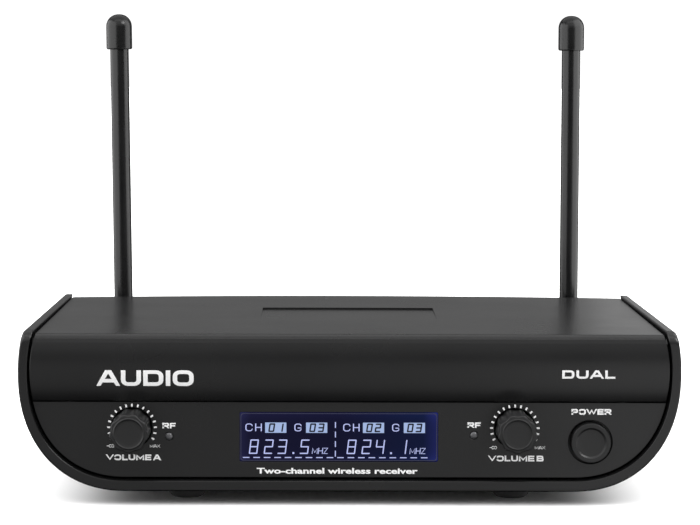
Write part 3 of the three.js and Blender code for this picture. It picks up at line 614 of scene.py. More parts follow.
def brow_y(z):
    """Where the brow's outer surface lies at a height."""
    return BROW_FRONT_Y + BROW_RADIUS - math.sqrt(BROW_RADIUS**2 - (z - BROW_CENTRE_Z) ** 2)


def brow_angle(z, radius):
    return 180 - math.degrees(math.asin((z - BROW_CENTRE_Z) / radius))


def crown(x, y):
    """How far the cover's top bows up above its flat height: not at all in front, and most at the rear."""
    across = 1 - (x / (SIDE_CENTRE_X + SIDE_REACH)) ** 2
    return max(0.0, y) / CASE_DEPTH * (0.8 * across - 0.3)


def cover_section():
    """The cover's side section as an outline in Y and Z."""
    centre = (BROW_FRONT_Y + BROW_RADIUS, BROW_CENTRE_Z)
    inner_radius = BROW_RADIUS - COVER_WALL
    inner_top = COVER_TOP_Z - COVER_WALL

    def brow_arc(radius, start_z, end_z):
        return arc(centre, radius, brow_angle(start_z, radius), brow_angle(end_z, radius), 16)

    outer = brow_arc(BROW_RADIUS, COVER_TOP_Z, SEAM_Z)
    inner = brow_arc(inner_radius, SEAM_Z, inner_top)
    top = [(COVER_REAR_Y, COVER_TOP_Z, 0.5)] + [(y, COVER_TOP_Z, 0) for y in (110, 88, 66, 44, 24, 10)]
    corners = (
        top
        + [(*outer[0], 3.6)]
        + [(u, v, 0) for u, v in outer[1:-1]]
        + [(*outer[-1], 0.5), (*inner[0], 0.45)]
        + [(u, v, 0) for u, v in inner[1:-1]]
        + [(*inner[-1], 0), (COVER_REAR_Y, inner_top, 0.45)]
    )
    return rounded(corners, 5)


def shrunk(outline, distance):
    """A copy of a counter-clockwise or clockwise outline, drawn in by a distance along its normals."""
    area = sum(a[0] * b[1] - b[0] * a[1] for a, b in zip(outline, outline[1:] + outline[:1]))
    inward = math.copysign(distance, area)
    points = []
    for i, (u, v) in enumerate(outline):
        back, ahead = outline[i - 1], outline[(i + 1) % len(outline)]
        run = Vector((ahead[0] - back[0], ahead[1] - back[1])).normalized()
        points.append((u - run.y * inward, v + run.x * inward))
    return points


def cover_shell():
    edge = 0.4
    section = cover_section()
    width_steps = 28
    ends = [(-1, e) for e in quarter(edge, 4)[:-1]]
    across = [(2 * i / width_steps - 1, edge) for i in range(width_steps + 1)]
    stations = ends + across + [(1, e) for e in reversed(quarter(edge, 4)[:-1])]
    rings = []
    for share, depth in stations:
        ring = []
        for (_, wide_z), (y, z) in zip(section, shrunk(section, drawn_back(depth, edge))):
            gap = COVER_GAP["front"] + (COVER_GAP["rear"] - COVER_GAP["front"]) * y / CASE_DEPTH
            x = share * (side_x(wide_z, gap) - depth)
            weight = max(0.0, min(1.0, (z - BROW_CENTRE_Z) / (COVER_TOP_Z - COVER_WALL - BROW_CENTRE_Z)))
            ring.append((x, y, z + crown(x, y) * weight))
        rings.append(ring)
    return carve(loft(rings), recess_tool())


def recess_tool():
    """What is cut out of the cover's top: a shallow wedge that is deepest at its rear."""
    rings = []
    steps = 12
    for y in (RECESS_FRONT_Y - 3, RECESS_FRONT_Y + 15, RECESS_REAR_Y):
        depth = RECESS_DEPTH * (y - RECESS_FRONT_Y) / (RECESS_REAR_Y - RECESS_FRONT_Y)
        ring = []
        for i in range(steps + 1):
            x = RECESS_HALF_WIDTH * (2 * i / steps - 1)
            ring.append((x, y, COVER_TOP_Z + crown(x, y) - depth))
        ring += [(RECESS_HALF_WIDTH, y, COVER_TOP_Z + 3), (-RECESS_HALF_WIDTH, y, COVER_TOP_Z + 3)]
        rings.append(ring)
    return loft(rings)


# ---- Panels ----


def control_panel():
    holes = [box_outline(WINDOW.x, WINDOW.z, WINDOW_WIDTH + 2 * FIT, WINDOW_HEIGHT + 2 * FIT, 0.5)]
    for channel in CHANNELS:
        knob = middle(f"volume_knob_{channel}")
        lamp = middle(f"rf_led_{channel}")
        holes.append(circle(knob.x, knob.z, KNOB_RADIUS + 0.3))
        holes.append(circle(lamp.x, lamp.z, LAMP_RADIUS + 0.13, 32))
    button = middle("power_button")
    holes.append(circle(button.x, button.z, BUTTON_RADIUS + 0.75))
    edge = inside_outline(PANEL_GAP, PANEL_LOW_Z, PANEL_HIGH_Z)
    return plate([edge, *holes], PANEL_Y, PANEL_BACK_Y, 0.14)


def connector_panel():
    jack, inlet = middle("output_jack"), middle("power_inlet")
    holes = [circle(jack.x, jack.z, JACK_HOLE), circle(inlet.x, inlet.z, 4.5)]
    for channel in CHANNELS:
        xlr = middle(f"xlr_insert_{channel}")
        base = middle(f"antenna_base_{channel}")
        holes.append(circle(xlr.x, span(f"xlr_output_{channel}")[0].z + 15.5, 11.3))
        holes.append(circle(base.x, base.z, 5.3))
    edge = inside_outline(PANEL_GAP, PANEL_LOW_Z, span("rear_panel")[1].z)
    return plate([edge, *holes], REAR_PANEL_Y - 2.5, REAR_PANEL_Y, 0.14)


def display_pane():
    low, high, _ = span("display_window")
    pane = box_outline(WINDOW.x, WINDOW.z, WINDOW_WIDTH, WINDOW_HEIGHT, 0.4)
    flange = box_outline(WINDOW.x, WINDOW.z, WINDOW_WIDTH + 3, WINDOW_HEIGHT + 3, 1.0)
    return fuse(plate([pane], low.y, high.y - 0.5, 0.15), plate([flange], high.y - 1, high.y, 0.1))


# ---- Controls ----

KNOB_LOBES = 9
KNOB_LOBE_DEPTH = 0.45


def knob_lobes(angle, radius):
    """Rounded lobes round the knob's grip, fading out towards its face."""
    share = max(0.0, min(1.0, (radius - 5.5) / 0.6))
    groove = math.sin(KNOB_LOBES * (angle - math.radians(30)) / 2) ** 2
    return radius - KNOB_LOBE_DEPTH * share * groove


def volume_knob(channel):
    low, high, centre = span(f"volume_knob_{channel}")
    front, back = low.y, high.y
    profile = [(0, -4.8), (2.8, -4.8), (2.8, back), (KNOB_RADIUS - 0.4, back), (KNOB_RADIUS, back - 0.4)]
    shoulder = ((0, 0.8), (0.02, 0.66), (0.08, 0.5), (0.18, 0.39), (0.35, 0.32), (0.55, 0.3), (1.15, 0.3))
    profile += [(KNOB_RADIUS - inset, front + fall) for inset, fall in shoulder]
    profile += arc((4.75, front + 0.35), 0.35, -10, -170, 10)
    profile += [(4.2, front + 0.36), (3.4, front + 0.4), (2.2, front + 0.42), (0, front + 0.42)]
    return spun(profile, centre, KNOB_LOBES * 16, knob_lobes)


def power_button():
    low, high, centre = span("power_button")
    front = low.y
    radius, flange, stem = BUTTON_RADIUS, 8.2, 2
    flange_y = PANEL_BACK_Y + 0.35
    profile = rounded(
        [(0, front + 0.5, 0), (3.0, front + 0.46, 3), (4.4, front + 0.38, 0.3), (5.0, front + 0.02, 0.15),
         (radius - 0.15, front + 0.02, 0.12), (radius, front + 0.2, 0.1), (radius, flange_y, 0.1),
         (flange, flange_y, 0.2), (flange, flange_y + 1.5, 0.2), (stem, flange_y + 1.5, 0.2),
         (stem, high.y, 0.2), (0, high.y, 0)],
        5, closed=False)
    return spun(profile, centre, 96)


def lamp(channel):
    low, _, centre = span(f"rf_led_{channel}")
    rise, collar, collar_y, back = 0.7, 1.7, 8, 9
    dome = []
    for degrees in range(80, -1, -10):
        angle = math.radians(degrees)
        dome.append((LAMP_RADIUS * math.cos(angle), low.y + rise - rise * math.sin(angle)))
    body = [(LAMP_RADIUS, collar_y), (collar, collar_y), (collar, back), (0, back)]
    return spun([(0, low.y)] + dome + body, centre, 40)


# ---- Feet and screws ----


def foot(corner):
    low, high, centre = span(f"foot_{corner}")
    top = CASE_BOTTOM_Z - 0.15
    radius, plug, hollow = (high.x - low.x) / 2, 2, 0.25
    profile = rounded(
        [(0, hollow, 0), (radius - 2.9, hollow, 0.3), (radius - 2.6, 0, 0.2), (radius, 0, 2.2),
         (radius, top, 0.3), (plug, top, 0.1), (plug, high.z, 0.3), (0, high.z, 0)], 6, closed=False)
    return lathe(profile, (centre.x, centre.y, 0), "Z", 64)


def screw(head_radius, head_height, shank_radius, length):
    """A pan-head screw along Y with its cross recess facing +Y and its head seated on Y 0."""
    corners = [(head_radius, 0, 0), (head_radius, head_height, head_height * 0.7), (0, head_height, 0)]
    dome = rounded(corners, 5, closed=False)
    profile = [(0, -length), (shank_radius * 0.6, -length), (shank_radius, -length + 1), (shank_radius, 0)]
    body = lathe(profile + dome, sides=40)
    arm, width = head_radius * 0.62, head_radius * 0.22
    cross = rounded(
        [(-width, -arm, 0), (width, -arm, 0), (width, -width, 0.15), (arm, -width, 0), (arm, width, 0),
         (width, width, 0.15), (width, arm, 0), (-width, arm, 0), (-width, width, 0.15), (-arm, width, 0),
         (-arm, -width, 0), (-width, -width, 0.15)], 2)
    return carve(body, plate([cross], head_height * 0.45, head_height + 1))


def case_screw(corner):
    low, _, centre = span(f"case_screw_{corner}")
    head = screw(2.8, 2.0, 1.45, 13)
    seat = Vector((centre.x, centre.y, low.z + 2.0))
    return moved(turned(head, -90, "X", (0, 0, 0)), seat)


# ---- Rear connectors ----


def xlr_shell(channel):
    low, high, centre = span(f"xlr_output_{channel}")
    x, z = centre.x, centre.z
    edge = box_outline(x, z, high.x - low.x, high.z - low.z, 2.2)
    holes = [circle(x, z, XLR_BORE)] + [circle(x + u, z + v, 1.5, 24) for u, v in XLR_SCREWS]
    flange = plate([edge, *holes], OUTSIDE_Y, high.y, 0.35)
    lip, root, rim = high.y + 0.7, high.y - 1, 9.6
    collar = rounded([(XLR_BORE, root, 0), (rim, root, 0), (rim, lip, 0.3), (XLR_BORE, lip, 0.3)])
    end, radius = OUTSIDE_Y + 1, 11
    barrel = [(XLR_BORE, low.y), (radius, low.y), (radius, end), (XLR_BORE, end)]
    return fuse(flange, spun(collar, centre, 80), spun(barrel, centre, 80))


def xlr_insert(channel):
    shell_low, _, centre = span(f"xlr_output_{channel}")
    low, high, _ = span(f"xlr_insert_{channel}")
    near, far, radius = shell_low.y + 0.5, shell_low.y + 4.5, XLR_BORE - 0.3
    disc = rounded([(0, near, 0), (radius, near, 0.3), (radius, far, 0.3), (0, far, 0)], closed=False)
    pins = []
    for degrees in (30, 150, 270):
        angle = math.radians(degrees)
        at = (centre.x + XLR_PIN_RING * math.cos(angle), 0, centre.z + XLR_PIN_RING * math.sin(angle))
        profile = rounded([(0, low.y, 0), (1.2, low.y, 0.2), (1.2, high.y, 0.9), (0, high.y, 0)], 5, False)
        pins.append(lathe(profile, at, "Y", 24))
    return fuse(spun(disc, centre), *pins)


def jack_body():
    low, high, centre = span("output_jack")
    block = plate([box_outline(centre.x, centre.z, 16, 15, 0.6)], low.y, REAR_BODY_Y, 0.2)
    pitch, crest, bore = 1.0, 5.5, JACK_BORE
    thread = []
    root = REAR_PANEL_Y - 3.5
    y = root
    while y < high.y - pitch:
        thread += [(crest, y), (crest - 0.25, y + pitch / 2)]
        y += pitch
    end = [(crest, y), (crest - 0.4, high.y), (bore + 0.3, high.y), (bore, high.y - 0.3)]
    barrel = spun([(bore, root)] + thread + end, centre)
    inside = [(0, low.y + 2), (bore, low.y + 2), (bore, high.y + 1), (0, high.y + 1)]
    return carve(fuse(block, barrel), spun(inside, centre))


def jack_nut():
    low, high, centre = span("output_jack_nut")
    hexagon = arc((centre.x, centre.z), 8.1, 0, 360, 6)[:-1]
    nut = plate([hexagon, circle(centre.x, centre.z, JACK_HOLE)], low.y, high.y)
    rim = (high.z - low.z) / 2
    cone = [(0, low.y - 1), (9, low.y - 1), (9, high.y - 0.9), (rim - 0.3, high.y + 0.3), (0, high.y + 0.3)]
    return boolean("INTERSECT", nut, spun(cone, centre))


def power_inlet():
    low, high, centre = span("power_inlet")
    block = plate([box_outline(centre.x, centre.z, 10, 12, 0.5)], low.y, REAR_BODY_Y, 0.2)
    root, bore_end, pin_root, tip = REAR_PANEL_Y - 4.5, low.y + 5, low.y + 4, high.y - 1.7
    lip, past = high.y - 0.3, high.y + 0.2
    barrel = [(0, root), (4.2, root), (4.2, lip), (3.9, high.y), (0, high.y)]
    bore = [(0, bore_end), (3.2, bore_end), (3.2, lip), (3.5, past), (0, past)]
    pin = rounded([(0, pin_root, 0), (1, pin_root, 0), (1, tip, 0.6), (0, tip, 0)], 4, False)
    return fuse(carve(fuse(block, spun(barrel, centre)), spun(bore, centre)), spun(pin, centre, 24))


# ---- Aerials ----


def leaning(mesh, channel):
    return turned(mesh, AERIAL_LEAN[channel], "Y", middle(f"antenna_pin_{channel}"))


def aerial_base(channel):
    low, high, _ = span(f"antenna_base_{channel}")
    pivot = middle(f"antenna_pin_{channel}")
    collar, neck, grip = OUTSIDE_Y, 5, 6.5
    profile = rounded(
        [(0, low.y, 0), (neck, low.y, 0.4), (neck, collar, 0), (grip, collar, 0.2),
         (grip, collar + 2.4, 0.5), (5.6, high.y, 0.3), (0, high.y, 0)], 4, closed=False)

    def knurl(angle, radius):
        return radius - 0.16 * (1 - abs(math.cos(18 * angle))) if radius > 6.2 else radius

    return spun(profile, pivot, 144, knurl)


def aerial_swivel(channel):
    near = span(f"antenna_swivel_{channel}")[0].y
    far = near + 2.5
    pivot = middle(f"antenna_pin_{channel}")
    hub = rounded([(0, near, 0), (6, near, 0.4), (6, far, 0.5), (0, far, 0)], 5, False)
    half, root = 4.3, pivot.y - 5
    ear = [(root, pivot.z - half)]
    ear += [(pivot.y + u, pivot.z + v) for u, v in arc((0, 0), half, -90, 90, 28)]
    ear += [(root, pivot.z + half)]
    hole = circle(pivot.y, pivot.z, PIN_HOLE, 32)
    inner, outer = 2.45, 4.5
    right = plate([ear, hole], pivot.x + inner, pivot.x + outer, 0.3, "X")
    left = plate([ear, hole], pivot.x - outer, pivot.x - inner, 0.3, "X")
    return leaning(fuse(spun(hub, pivot, 80), left, right), channel)


def aerial_pin(channel):
    low, high, pivot = span(f"antenna_pin_{channel}")
    half = (high.x - low.x) / 2
    profile = rounded([(0, -half, 0), (1.3, -half, 0.4), (1.3, half, 0.4), (0, half, 0)], 4, False)
    return leaning(lathe(profile, pivot, "X", 32), channel)


def aerial_rod(channel):
    top = span(f"antenna_rod_{channel}")[1].z
    pivot = middle(f"antenna_pin_{channel}")
    half, thick = 3.35, 4.2
    foot_z = pivot.z + 6
    tongue = [(pivot.y + half, foot_z + 1), (pivot.y - half, foot_z + 1)]
    tongue += [(pivot.y + u, pivot.z + v) for u, v in arc((0, 0), half, 180, 360, 28)]
    hole = circle(pivot.y, pivot.z, PIN_HOLE, 32)
    blade = plate([tongue, hole], pivot.x - thick / 2, pivot.x + thick / 2, 0.25, "X")
    corners = [(0, foot_z, 0), (ROD_RADIUS, foot_z, 0.7), (ROD_RADIUS, top, 0), (0, top, 0)]
    profile = rounded(corners, 5, closed=False)
    return leaning(fuse(lathe(profile, (pivot.x, pivot.y, 0), "Z", 72), blade), channel)


def aerial_cap(channel):
    low, high, _ = span(f"antenna_cap_{channel}")
    pivot = middle(f"antenna_pin_{channel}")
    radius = (high.y - low.y) / 2
    rise = 4.6
    dome = []
    for degrees in range(0, 90, 5):
        angle = math.radians(degrees)
        dome.append((radius * math.cos(angle) ** 0.92, high.z - rise * (1 - math.sin(angle))))
    dome.append((0, high.z))
    bore = ROD_RADIUS + 0.05
    profile = [(0, low.z + 7.2), (bore, low.z + 7.2), (bore, low.z + 0.2), (bore + 0.2, low.z),
               (radius - 0.6, low.z), (radius - 0.2, low.z + 0.15), (radius, low.z + 0.6)] + dome
    return leaning(lathe(profile, (pivot.x, pivot.y, 0), "Z", 72), channel)


# ---- Printing ----

INK_DEPTH = 0.045


def prisms(outlines, step=0.0):
    """Flat outlines in X and Z as prisms whose Y runs from -1 at the front to 1 at the back. With a step,
    neighbours stand forward by different amounts, so that no two faces coincide where they cross."""
    made = []
    for i, outline in enumerate(outlines):
        front = -1 - step * (i % 5)
        made.append(loft([[(u, front, v) for u, v in outline], [(u, 1, v) for u, v in outline]]))
    return joined(*made)


def lettering(text, centre, size, weight):
    """Letters as prisms, stretched to fill size about centre and made bolder by weight."""
    curve = bpy.data.curves.new("letters", "FONT")
    curve.body = text
    curve.offset = weight
    curve.extrude = 1
    curve.resolution_u = 3
    mesh = curve_mesh(curve)
    lows = [min(v.co[k] for v in mesh.vertices) for k in (0, 1)]
    highs = [max(v.co[k] for v in mesh.vertices) for k in (0, 1)]
    for v in mesh.vertices:
        u = (v.co.x - lows[0]) / (highs[0] - lows[0]) - 0.5
        w = (v.co.y - lows[1]) / (highs[1] - lows[1]) - 0.5
        v.co = (centre[0] + u * size[0], -v.co.z, centre[1] + w * size[1])
    return cleaned(mesh)


# Square, wide capitals: how wide each one is for its height, then its strokes in a unit square.
CAPITALS = {
    "A": (1.25, [[(0, 0), (0.4, 1), (0.6, 1), (1, 0)], [(0.2, 0.28), (0.8, 0.28)]]),
    "B": (1.2, [[(0, 0), (0, 1)], [(0, 1), (0.94, 1), (0.94, 0.52), (0, 0.52)],
                [(0, 0.52), (1, 0.52), (1, 0), (0, 0)]]),
    "C": (1.2, [[(1, 0.28), (1, 0), (0, 0), (0, 1), (1, 1), (1, 0.72)]]),
    "D": (1.2, [[(0, 0), (0, 1)], [(0, 0), (1, 0), (1, 1), (0, 1)]]),
    "E": (1.1, [[(1, 0), (0, 0), (0, 1), (1, 1)], [(0, 0.5), (0.92, 0.5)]]),
    "F": (1.05, [[(0, 0), (0, 1), (1, 1)], [(0, 0.46), (0.88, 0.46)]]),
    "H": (1.2, [[(0, 0), (0, 1)], [(1, 0), (1, 1)], [(0, 0.5), (1, 0.5)]]),
    "I": (0.3, [[(0.5, 0), (0.5, 1)]]),
    "L": (1.0, [[(0, 1), (0, 0), (1, 0)]]),
    "M": (1.45, [[(0, 0), (0, 1), (0.5, 0.2), (1, 1), (1, 0)]]),
    "N": (1.2, [[(0, 0), (0, 1), (1, 0), (1, 1)]]),
    "O": (1.25, [[(0, 0.5), (0, 0), (1, 0), (1, 1), (0, 1), (0, 0.501)]]),
    "P": (1.15, [[(0, 0), (0, 1), (1, 1), (1, 0.4), (0, 0.4)]]),
    "R": (1.2, [[(0, 0), (0, 1), (1, 1), (1, 0.42), (0, 0.42)], [(0.5, 0.42), (0.92, 0)]]),
    "T": (1.15, [[(0.5, 0), (0.5, 1)], [(0, 1), (1, 1)]]),
    "U": (1.2, [[(0, 1), (0, 0), (1, 0), (1, 1)]]),
    "V": (1.25, [[(0, 1), (0.5, 0), (1, 1)]]),
    "W": (1.75, [[(0, 1), (0.26, 0), (0.5, 0.9), (0.74, 0), (1, 1)]]),
    "X": (1.2, [[(0, 0), (1, 1)], [(0, 1), (1, 0)]]),
    "Z": (1.15, [[(0, 1), (1, 1), (0, 0), (1, 0)]]),
    " ": (0.12, []),
}
ROUND_CAPITALS = "COU"
HALF_ROUND_CAPITALS = "BDPR"
CLOSE_CORNERS = "BPR"  # these have tighter curves


def stroke_outline(path, half):
    """The outline of an open path drawn with a pen 2 * half wide, with its corners mitred."""
    left, right = [], []
    for i, point in enumerate(path):
        here = Vector(point)
        runs = []
        if i > 0:
            runs.append((here - Vector(path[i - 1])).normalized())
        if i < len(path) - 1:
            runs.append((Vector(path[i + 1]) - here).normalized())
        run = sum(runs, Vector((0, 0))).normalized()
        side = Vector((-run.y, run.x))
        reach = half / max(0.68, run.dot(runs[-1]))
        left.append(tuple(here + side * reach))
        right.append(tuple(here - side * reach))
    return left + right[::-1]


def with_ends(path, reach):
    """An open path with both of its ends drawn out straight by reach."""
    first = Vector(path[0]) + (Vector(path[0]) - Vector(path[1])).normalized() * reach
    last = Vector(path[-1]) + (Vector(path[-1]) - Vector(path[-2])).normalized() * reach
    return [tuple(first), *path[1:-1], tuple(last)]


PEN_FLATNESS = 1.25  # how much thinner level strokes are than upright ones
STROKE_STEP = 0.12  # how much further each stroke of a letter stands out than the one before


def is_slanted(start, end):
    return abs(start[0] - end[0]) > 1e-6 and abs(start[1] - end[1]) > 1e-6


def capitals(text, centre, size, pen, space=0.13, lean=0.0, facing=1):
    """Wide capitals drawn with a pen of that width, filling size about centre. facing is -1 for print
    that is read from behind."""
    units = sum(CAPITALS[letter][0] for letter in text) + space * (len(text) - 1)
    unit = size[0] / units
    half = pen / 2
    outlines = []
    x = centre[0] - facing * size[0] / 2
    low = centre[1] - size[1] / 2
    tall = size[1] * PEN_FLATNESS
    for letter in text:
        width, strokes = CAPITALS[letter]
        across, up = width * unit - pen, tall - pen
        for stroke in strokes:
            corners = []
            for u, v in stroke:
                soft = letter in ROUND_CAPITALS or (letter in HALF_ROUND_CAPITALS and u > 0.6)
                reach = 0.13 if letter in CLOSE_CORNERS else 0.25
                corners.append((half + u * across, half + v * up, reach * tall if soft else 0))
            path = rounded(corners, 4, closed=False)
            slanted = is_slanted(*path[:2]) and is_slanted(*path[-2:])
            outline = stroke_outline(with_ends(path, half * (1.8 if slanted else 1)), half)
            clipped = [(u, max(0.0, min(tall, v)) / PEN_FLATNESS) for u, v in outline]
            outlines.append([(x + facing * (u + lean * v), low + v) for u, v in clipped])
        x += facing * (width + space) * unit
    return prisms(outlines, STROKE_STEP)


def inked(meshes, surface, depth=INK_DEPTH, outward=-1, slices=0.0):
    """Prisms laid on a surface that is given as its Y at each height, standing proud of it by depth."""
    mesh = joined(*meshes)
    if slices:
        shape = bmesh.new()
        shape.from_mesh(mesh)
        low = min(v.co.z for v in shape.verts)
        high = max(v.co.z for v in shape.verts)
        for i in range(1, math.ceil((high - low) / slices)):
            geometry = shape.verts[:] + shape.edges[:] + shape.faces[:]
            level = (0, 0, low + i * slices)
            bmesh.ops.bisect_plane(shape, geom=geometry, plane_co=level, plane_no=(0, 0, 1))
        shape.to_mesh(mesh)
        shape.free()
    for v in mesh.vertices:
        proud = depth * abs(v.co.y) if v.co.y < 0 else -0.03
        v.co.y = surface(v.co.z) + outward * proud
    return cleaned(mesh)


def scale_ticks(x, z):
    """Ticks round a knob, from its lowest setting to its highest."""
    ticks = []
    count, sweep, inner, outer, half = 17, 116.6, 7.05, 8.0, 0.26
    for i in range(count):
        angle = math.radians(90 + sweep - 2 * sweep * i / (count - 1))
        c, s = math.cos(angle), math.sin(angle)
        ticks.append([(x + r * c - w * s, z + r * s + w * c)
                      for r, w in ((inner, -half), (outer, -half), (outer, half), (inner, half))])
    return ticks


def bar(x0, x1, z0, z1):
    return [(x0, z0), (x1, z0), (x1, z1), (x0, z1)]


def silence(x, z, width):
    """The mark for silence: a minus sign and a lying eight."""
    ring = width * 0.18
    pen = 0.18
    outlines = [bar(x - width / 2, x - width * 0.22, z - pen / 2, z + pen / 2)]
    for side in (-1, 1):
        circle_path = arc((x + width * 0.16 + side * ring * 0.95, z), ring, 0, 359.9, 24)
        outlines.append(stroke_outline(circle_path, pen / 2))
    return outlines


# Volume label, its width, where MAX stands beside the knob, how much lower the marks are, RF above its lamp.
CHANNEL_LABELS = {"a": ("VOLUME A", 17.5, 7.45, 0, 3.5), "b": ("VOLUME B", 17.8, 8.2, -0.3, 3.35)}


def panel_print():
    prints = []
    for channel, (words, width, high_mark, drop, lamp_word) in CHANNEL_LABELS.items():
        knob = middle(f"volume_knob_{channel}")
        lamp_at = middle(f"rf_led_{channel}")
        prints.append(prisms(scale_ticks(knob.x + 0.05, knob.z - 0.2)))
        prints.append(capitals(words, (knob.x + 0.5, knob.z - 9.65 + drop / 2), (width, 1.85), 0.56))
        prints.append(prisms(silence(knob.x - 6.95, knob.z - 5.95 + drop, 2.3)))
        prints.append(capitals("MAX", (knob.x + high_mark, knob.z - 5.95 + drop), (3.3, 0.95), 0.15))
        prints.append(capitals("RF", (lamp_at.x, lamp_at.z + lamp_word), (4.3, 1.8), 0.56))
    button = middle("power_button")
    prints.append(capitals("POWER", (button.x + 0.22, button.z + 9.85), (12.9, 1.85), 0.58))
    prints.append(lettering("Two-channel wireless receiver", (-4.02, 10.84), (52, 1.9), 0.03))
    return inked(prints, lambda z: PANEL_Y)


def brow_print():
    emblem = capitals("AUDIO", (-65.6, 41.2), (30.8, 5.1), 1.45)
    band = capitals("DUAL", (76.8, 42.7), (17.1, 2.7), 0.82, 0.2)
    return inked([emblem, band], brow_y, slices=0.6)


def rear_print():
    prints = []
    for channel in CHANNELS:
        _, high, centre = span(f"xlr_output_{channel}")
        word = f"OUT {channel.upper()}"
        prints.append(capitals(word, (centre.x, high.z + 3), (11, 2), 0.4, facing=-1))
    jack, inlet = middle("output_jack"), middle("power_inlet")
    prints.append(capitals("MIX OUT", (jack.x, jack.z + 12), (15.5, 2), 0.4, facing=-1))
    prints.append(capitals("DC IN", (inlet.x, inlet.z + 9), (9.6, 2), 0.4, facing=-1))
    return inked(prints, lambda z: REAR_PANEL_Y, outward=1)


# ---- Display ----

SEGMENTS = {
    "0": "abcdef", "1": "bc", "2": "abged", "3": "abgcd", "4": "fgbc",
    "5": "afgcd", "6": "afgecd", "7": "abc", "8": "abcdefg", "9": "abcdfg",
}
PANE_Y = span("display_window")[0].y


def seven_segment(digit, x, z, width, height, stroke, slant=0.12):
    """One digit's lit bars. x and z are its lower left corner, and slant leans it to the right."""
    half = stroke / 2
    low, mid, high = z + half, z + height / 2, z + height - half
    left, right = x + half, x + width - half
    ends = {
        "a": ((left, high), (right, high)), "b": ((right, mid), (right, high)),
        "c": ((right, low), (right, mid)), "d": ((left, low), (right, low)),
        "e": ((left, low), (left, mid)), "f": ((left, mid), (left, high)),
        "g": ((left, mid), (right, mid)),
    }
    bars = []
    for name in SEGMENTS[digit]:
        (x0, z0), (x1, z1) = ends[name]
        if z0 == z1:
            shape = [(x0 - half, z0), (x0, z0 - half), (x1, z0 - half), (x1 + half, z0),
                     (x1, z0 + half), (x0, z0 + half)]
        else:
            shape = [(x0, z0 - half), (x0 + half, z0), (x0 + half, z1), (x0, z1 + half),
                     (x0 - half, z1), (x0 - half, z0)]
        bars.append([(u + slant * (v - z), v) for u, v in shape])
    return bars


# Each half of the display, measured from the window's middle: the right half is the left one moved over.
HALF_PITCH = 31.56
HALVES = (("01", "03", "823.5"), ("02", "03", "824.1"))
CHANNEL_BOX = (-23.81, -16.96)
GROUP_BOX = (-10.61, -3.75)
BOX_HEIGHTS = (1.35, 4.7)
DIGIT_LEFTS = (-29.1, -24.3, -19.9, -12.7)
DIGIT_SIZE = (2.75, 4.7)
DIGIT_Z = -5.53


def display_marks():
    """What is lit on the display: legends, frequencies, the divider and the row of dashes."""
    outlines = []
    words = []
    for i, (_, _, frequency) in enumerate(HALVES):
        shift = WINDOW.x + i * HALF_PITCH
        for digit, left in zip(frequency.replace(".", ""), DIGIT_LEFTS):
            outlines += seven_segment(digit, shift + left, WINDOW.z + DIGIT_Z, *DIGIT_SIZE, 0.38)
        outlines.append(bar(shift - 15.0, shift - 14.4, WINDOW.z + DIGIT_Z, WINDOW.z + DIGIT_Z + 0.6))
        for letter, across, width in (("C", -29.0, 2.35), ("H", -25.95, 2.15), ("C", -13.2, 2.35)):
            words.append(capitals(letter, (shift + across, WINDOW.z + 3.1), (width, 2.5), 0.34))
        words.append(prisms([bar(shift - 13.3, shift - 12.15, WINDOW.z + 2.8, WINDOW.z + 3.08)]))
        words.append(capitals("MHZ", (shift - 6.2, WINDOW.z - 4.5), (5.1, 1.95), 0.24, lean=0.1))
    for i in range(4):
        top = WINDOW.z + 4.9 - 3.12 * i
        outlines.append(bar(WINDOW.x - 1.28, WINDOW.x - 0.96, top - 1.9, top))
    for i in range(18):
        left = WINDOW.x - 31.0 + 3.385 * i
        outlines.append(bar(left, left + 2.12, WINDOW.z - 6.85, WINDOW.z - 6.55))
    return inked([prisms(outlines), *words], lambda z: PANE_Y, 0.04)


def display_boxes():
    outlines = []
    low, high = (WINDOW.z + height for height in BOX_HEIGHTS)
    for i in range(len(HALVES)):
        for left, right in (CHANNEL_BOX, GROUP_BOX):
            x = WINDOW.x + i * HALF_PITCH + (left + right) / 2
            outlines.append(box_outline(x, (low + high) / 2, right - left, high - low, 0.1))
    return inked([prisms(outlines)], lambda z: PANE_Y, 0.04)


def display_box_digits():
    outlines = []
    for i, (channel_number, group_number, _) in enumerate(HALVES):
        shift = WINDOW.x + i * HALF_PITCH
        for (left, _), number in ((CHANNEL_BOX, channel_number), (GROUP_BOX, group_number)):
            for k, digit in enumerate(number):
                x = shift + left + 0.95 + 2.75 * k
                outlines += seven_segment(digit, x, WINDOW.z + 1.6, 1.95, 2.85, 0.5, 0.15)
    return inked([prisms(outlines)], lambda z: PANE_Y - 0.04, 0.03)


def display_rim():
    """The pane's polished edge, given a faint painted glow that stands in for the display's light caught
    there.
    """
    edge = box_outline(WINDOW.x, WINDOW.z, WINDOW_WIDTH, WINDOW_HEIGHT, 0.9)
    field = box_outline(WINDOW.x, WINDOW.z, WINDOW_WIDTH - 0.5, WINDOW_HEIGHT - 0.5, 0.9)
    return plate([edge, field], PANE_Y - 0.02, PANE_Y + 0.1)


# ---- Assembly ----

slotted("casing_shell", casing_shell(), "receiver", "casing", "bottom_shell")
slotted("cover_shell", cover_shell(), "receiver", "casing", "top_cover")
slotted("control_panel", control_panel(), "receiver", "casing", "front_panel")
slotted("connector_panel", connector_panel(), "receiver", "casing", "rear_panel")
slotted("display_pane", display_pane(), "receiver", "window", "display_window")
slotted("power_key", power_button(), "power_button", "control_plastic", "power_button")

for corner in CORNERS:
    slotted(f"rubber_foot_{corner}", foot(corner), "receiver", "foot_rubber", f"foot_{corner}")
    slotted(f"cross_screw_{corner}", case_screw(corner), "receiver", "black_steel", f"case_screw_{corner}")

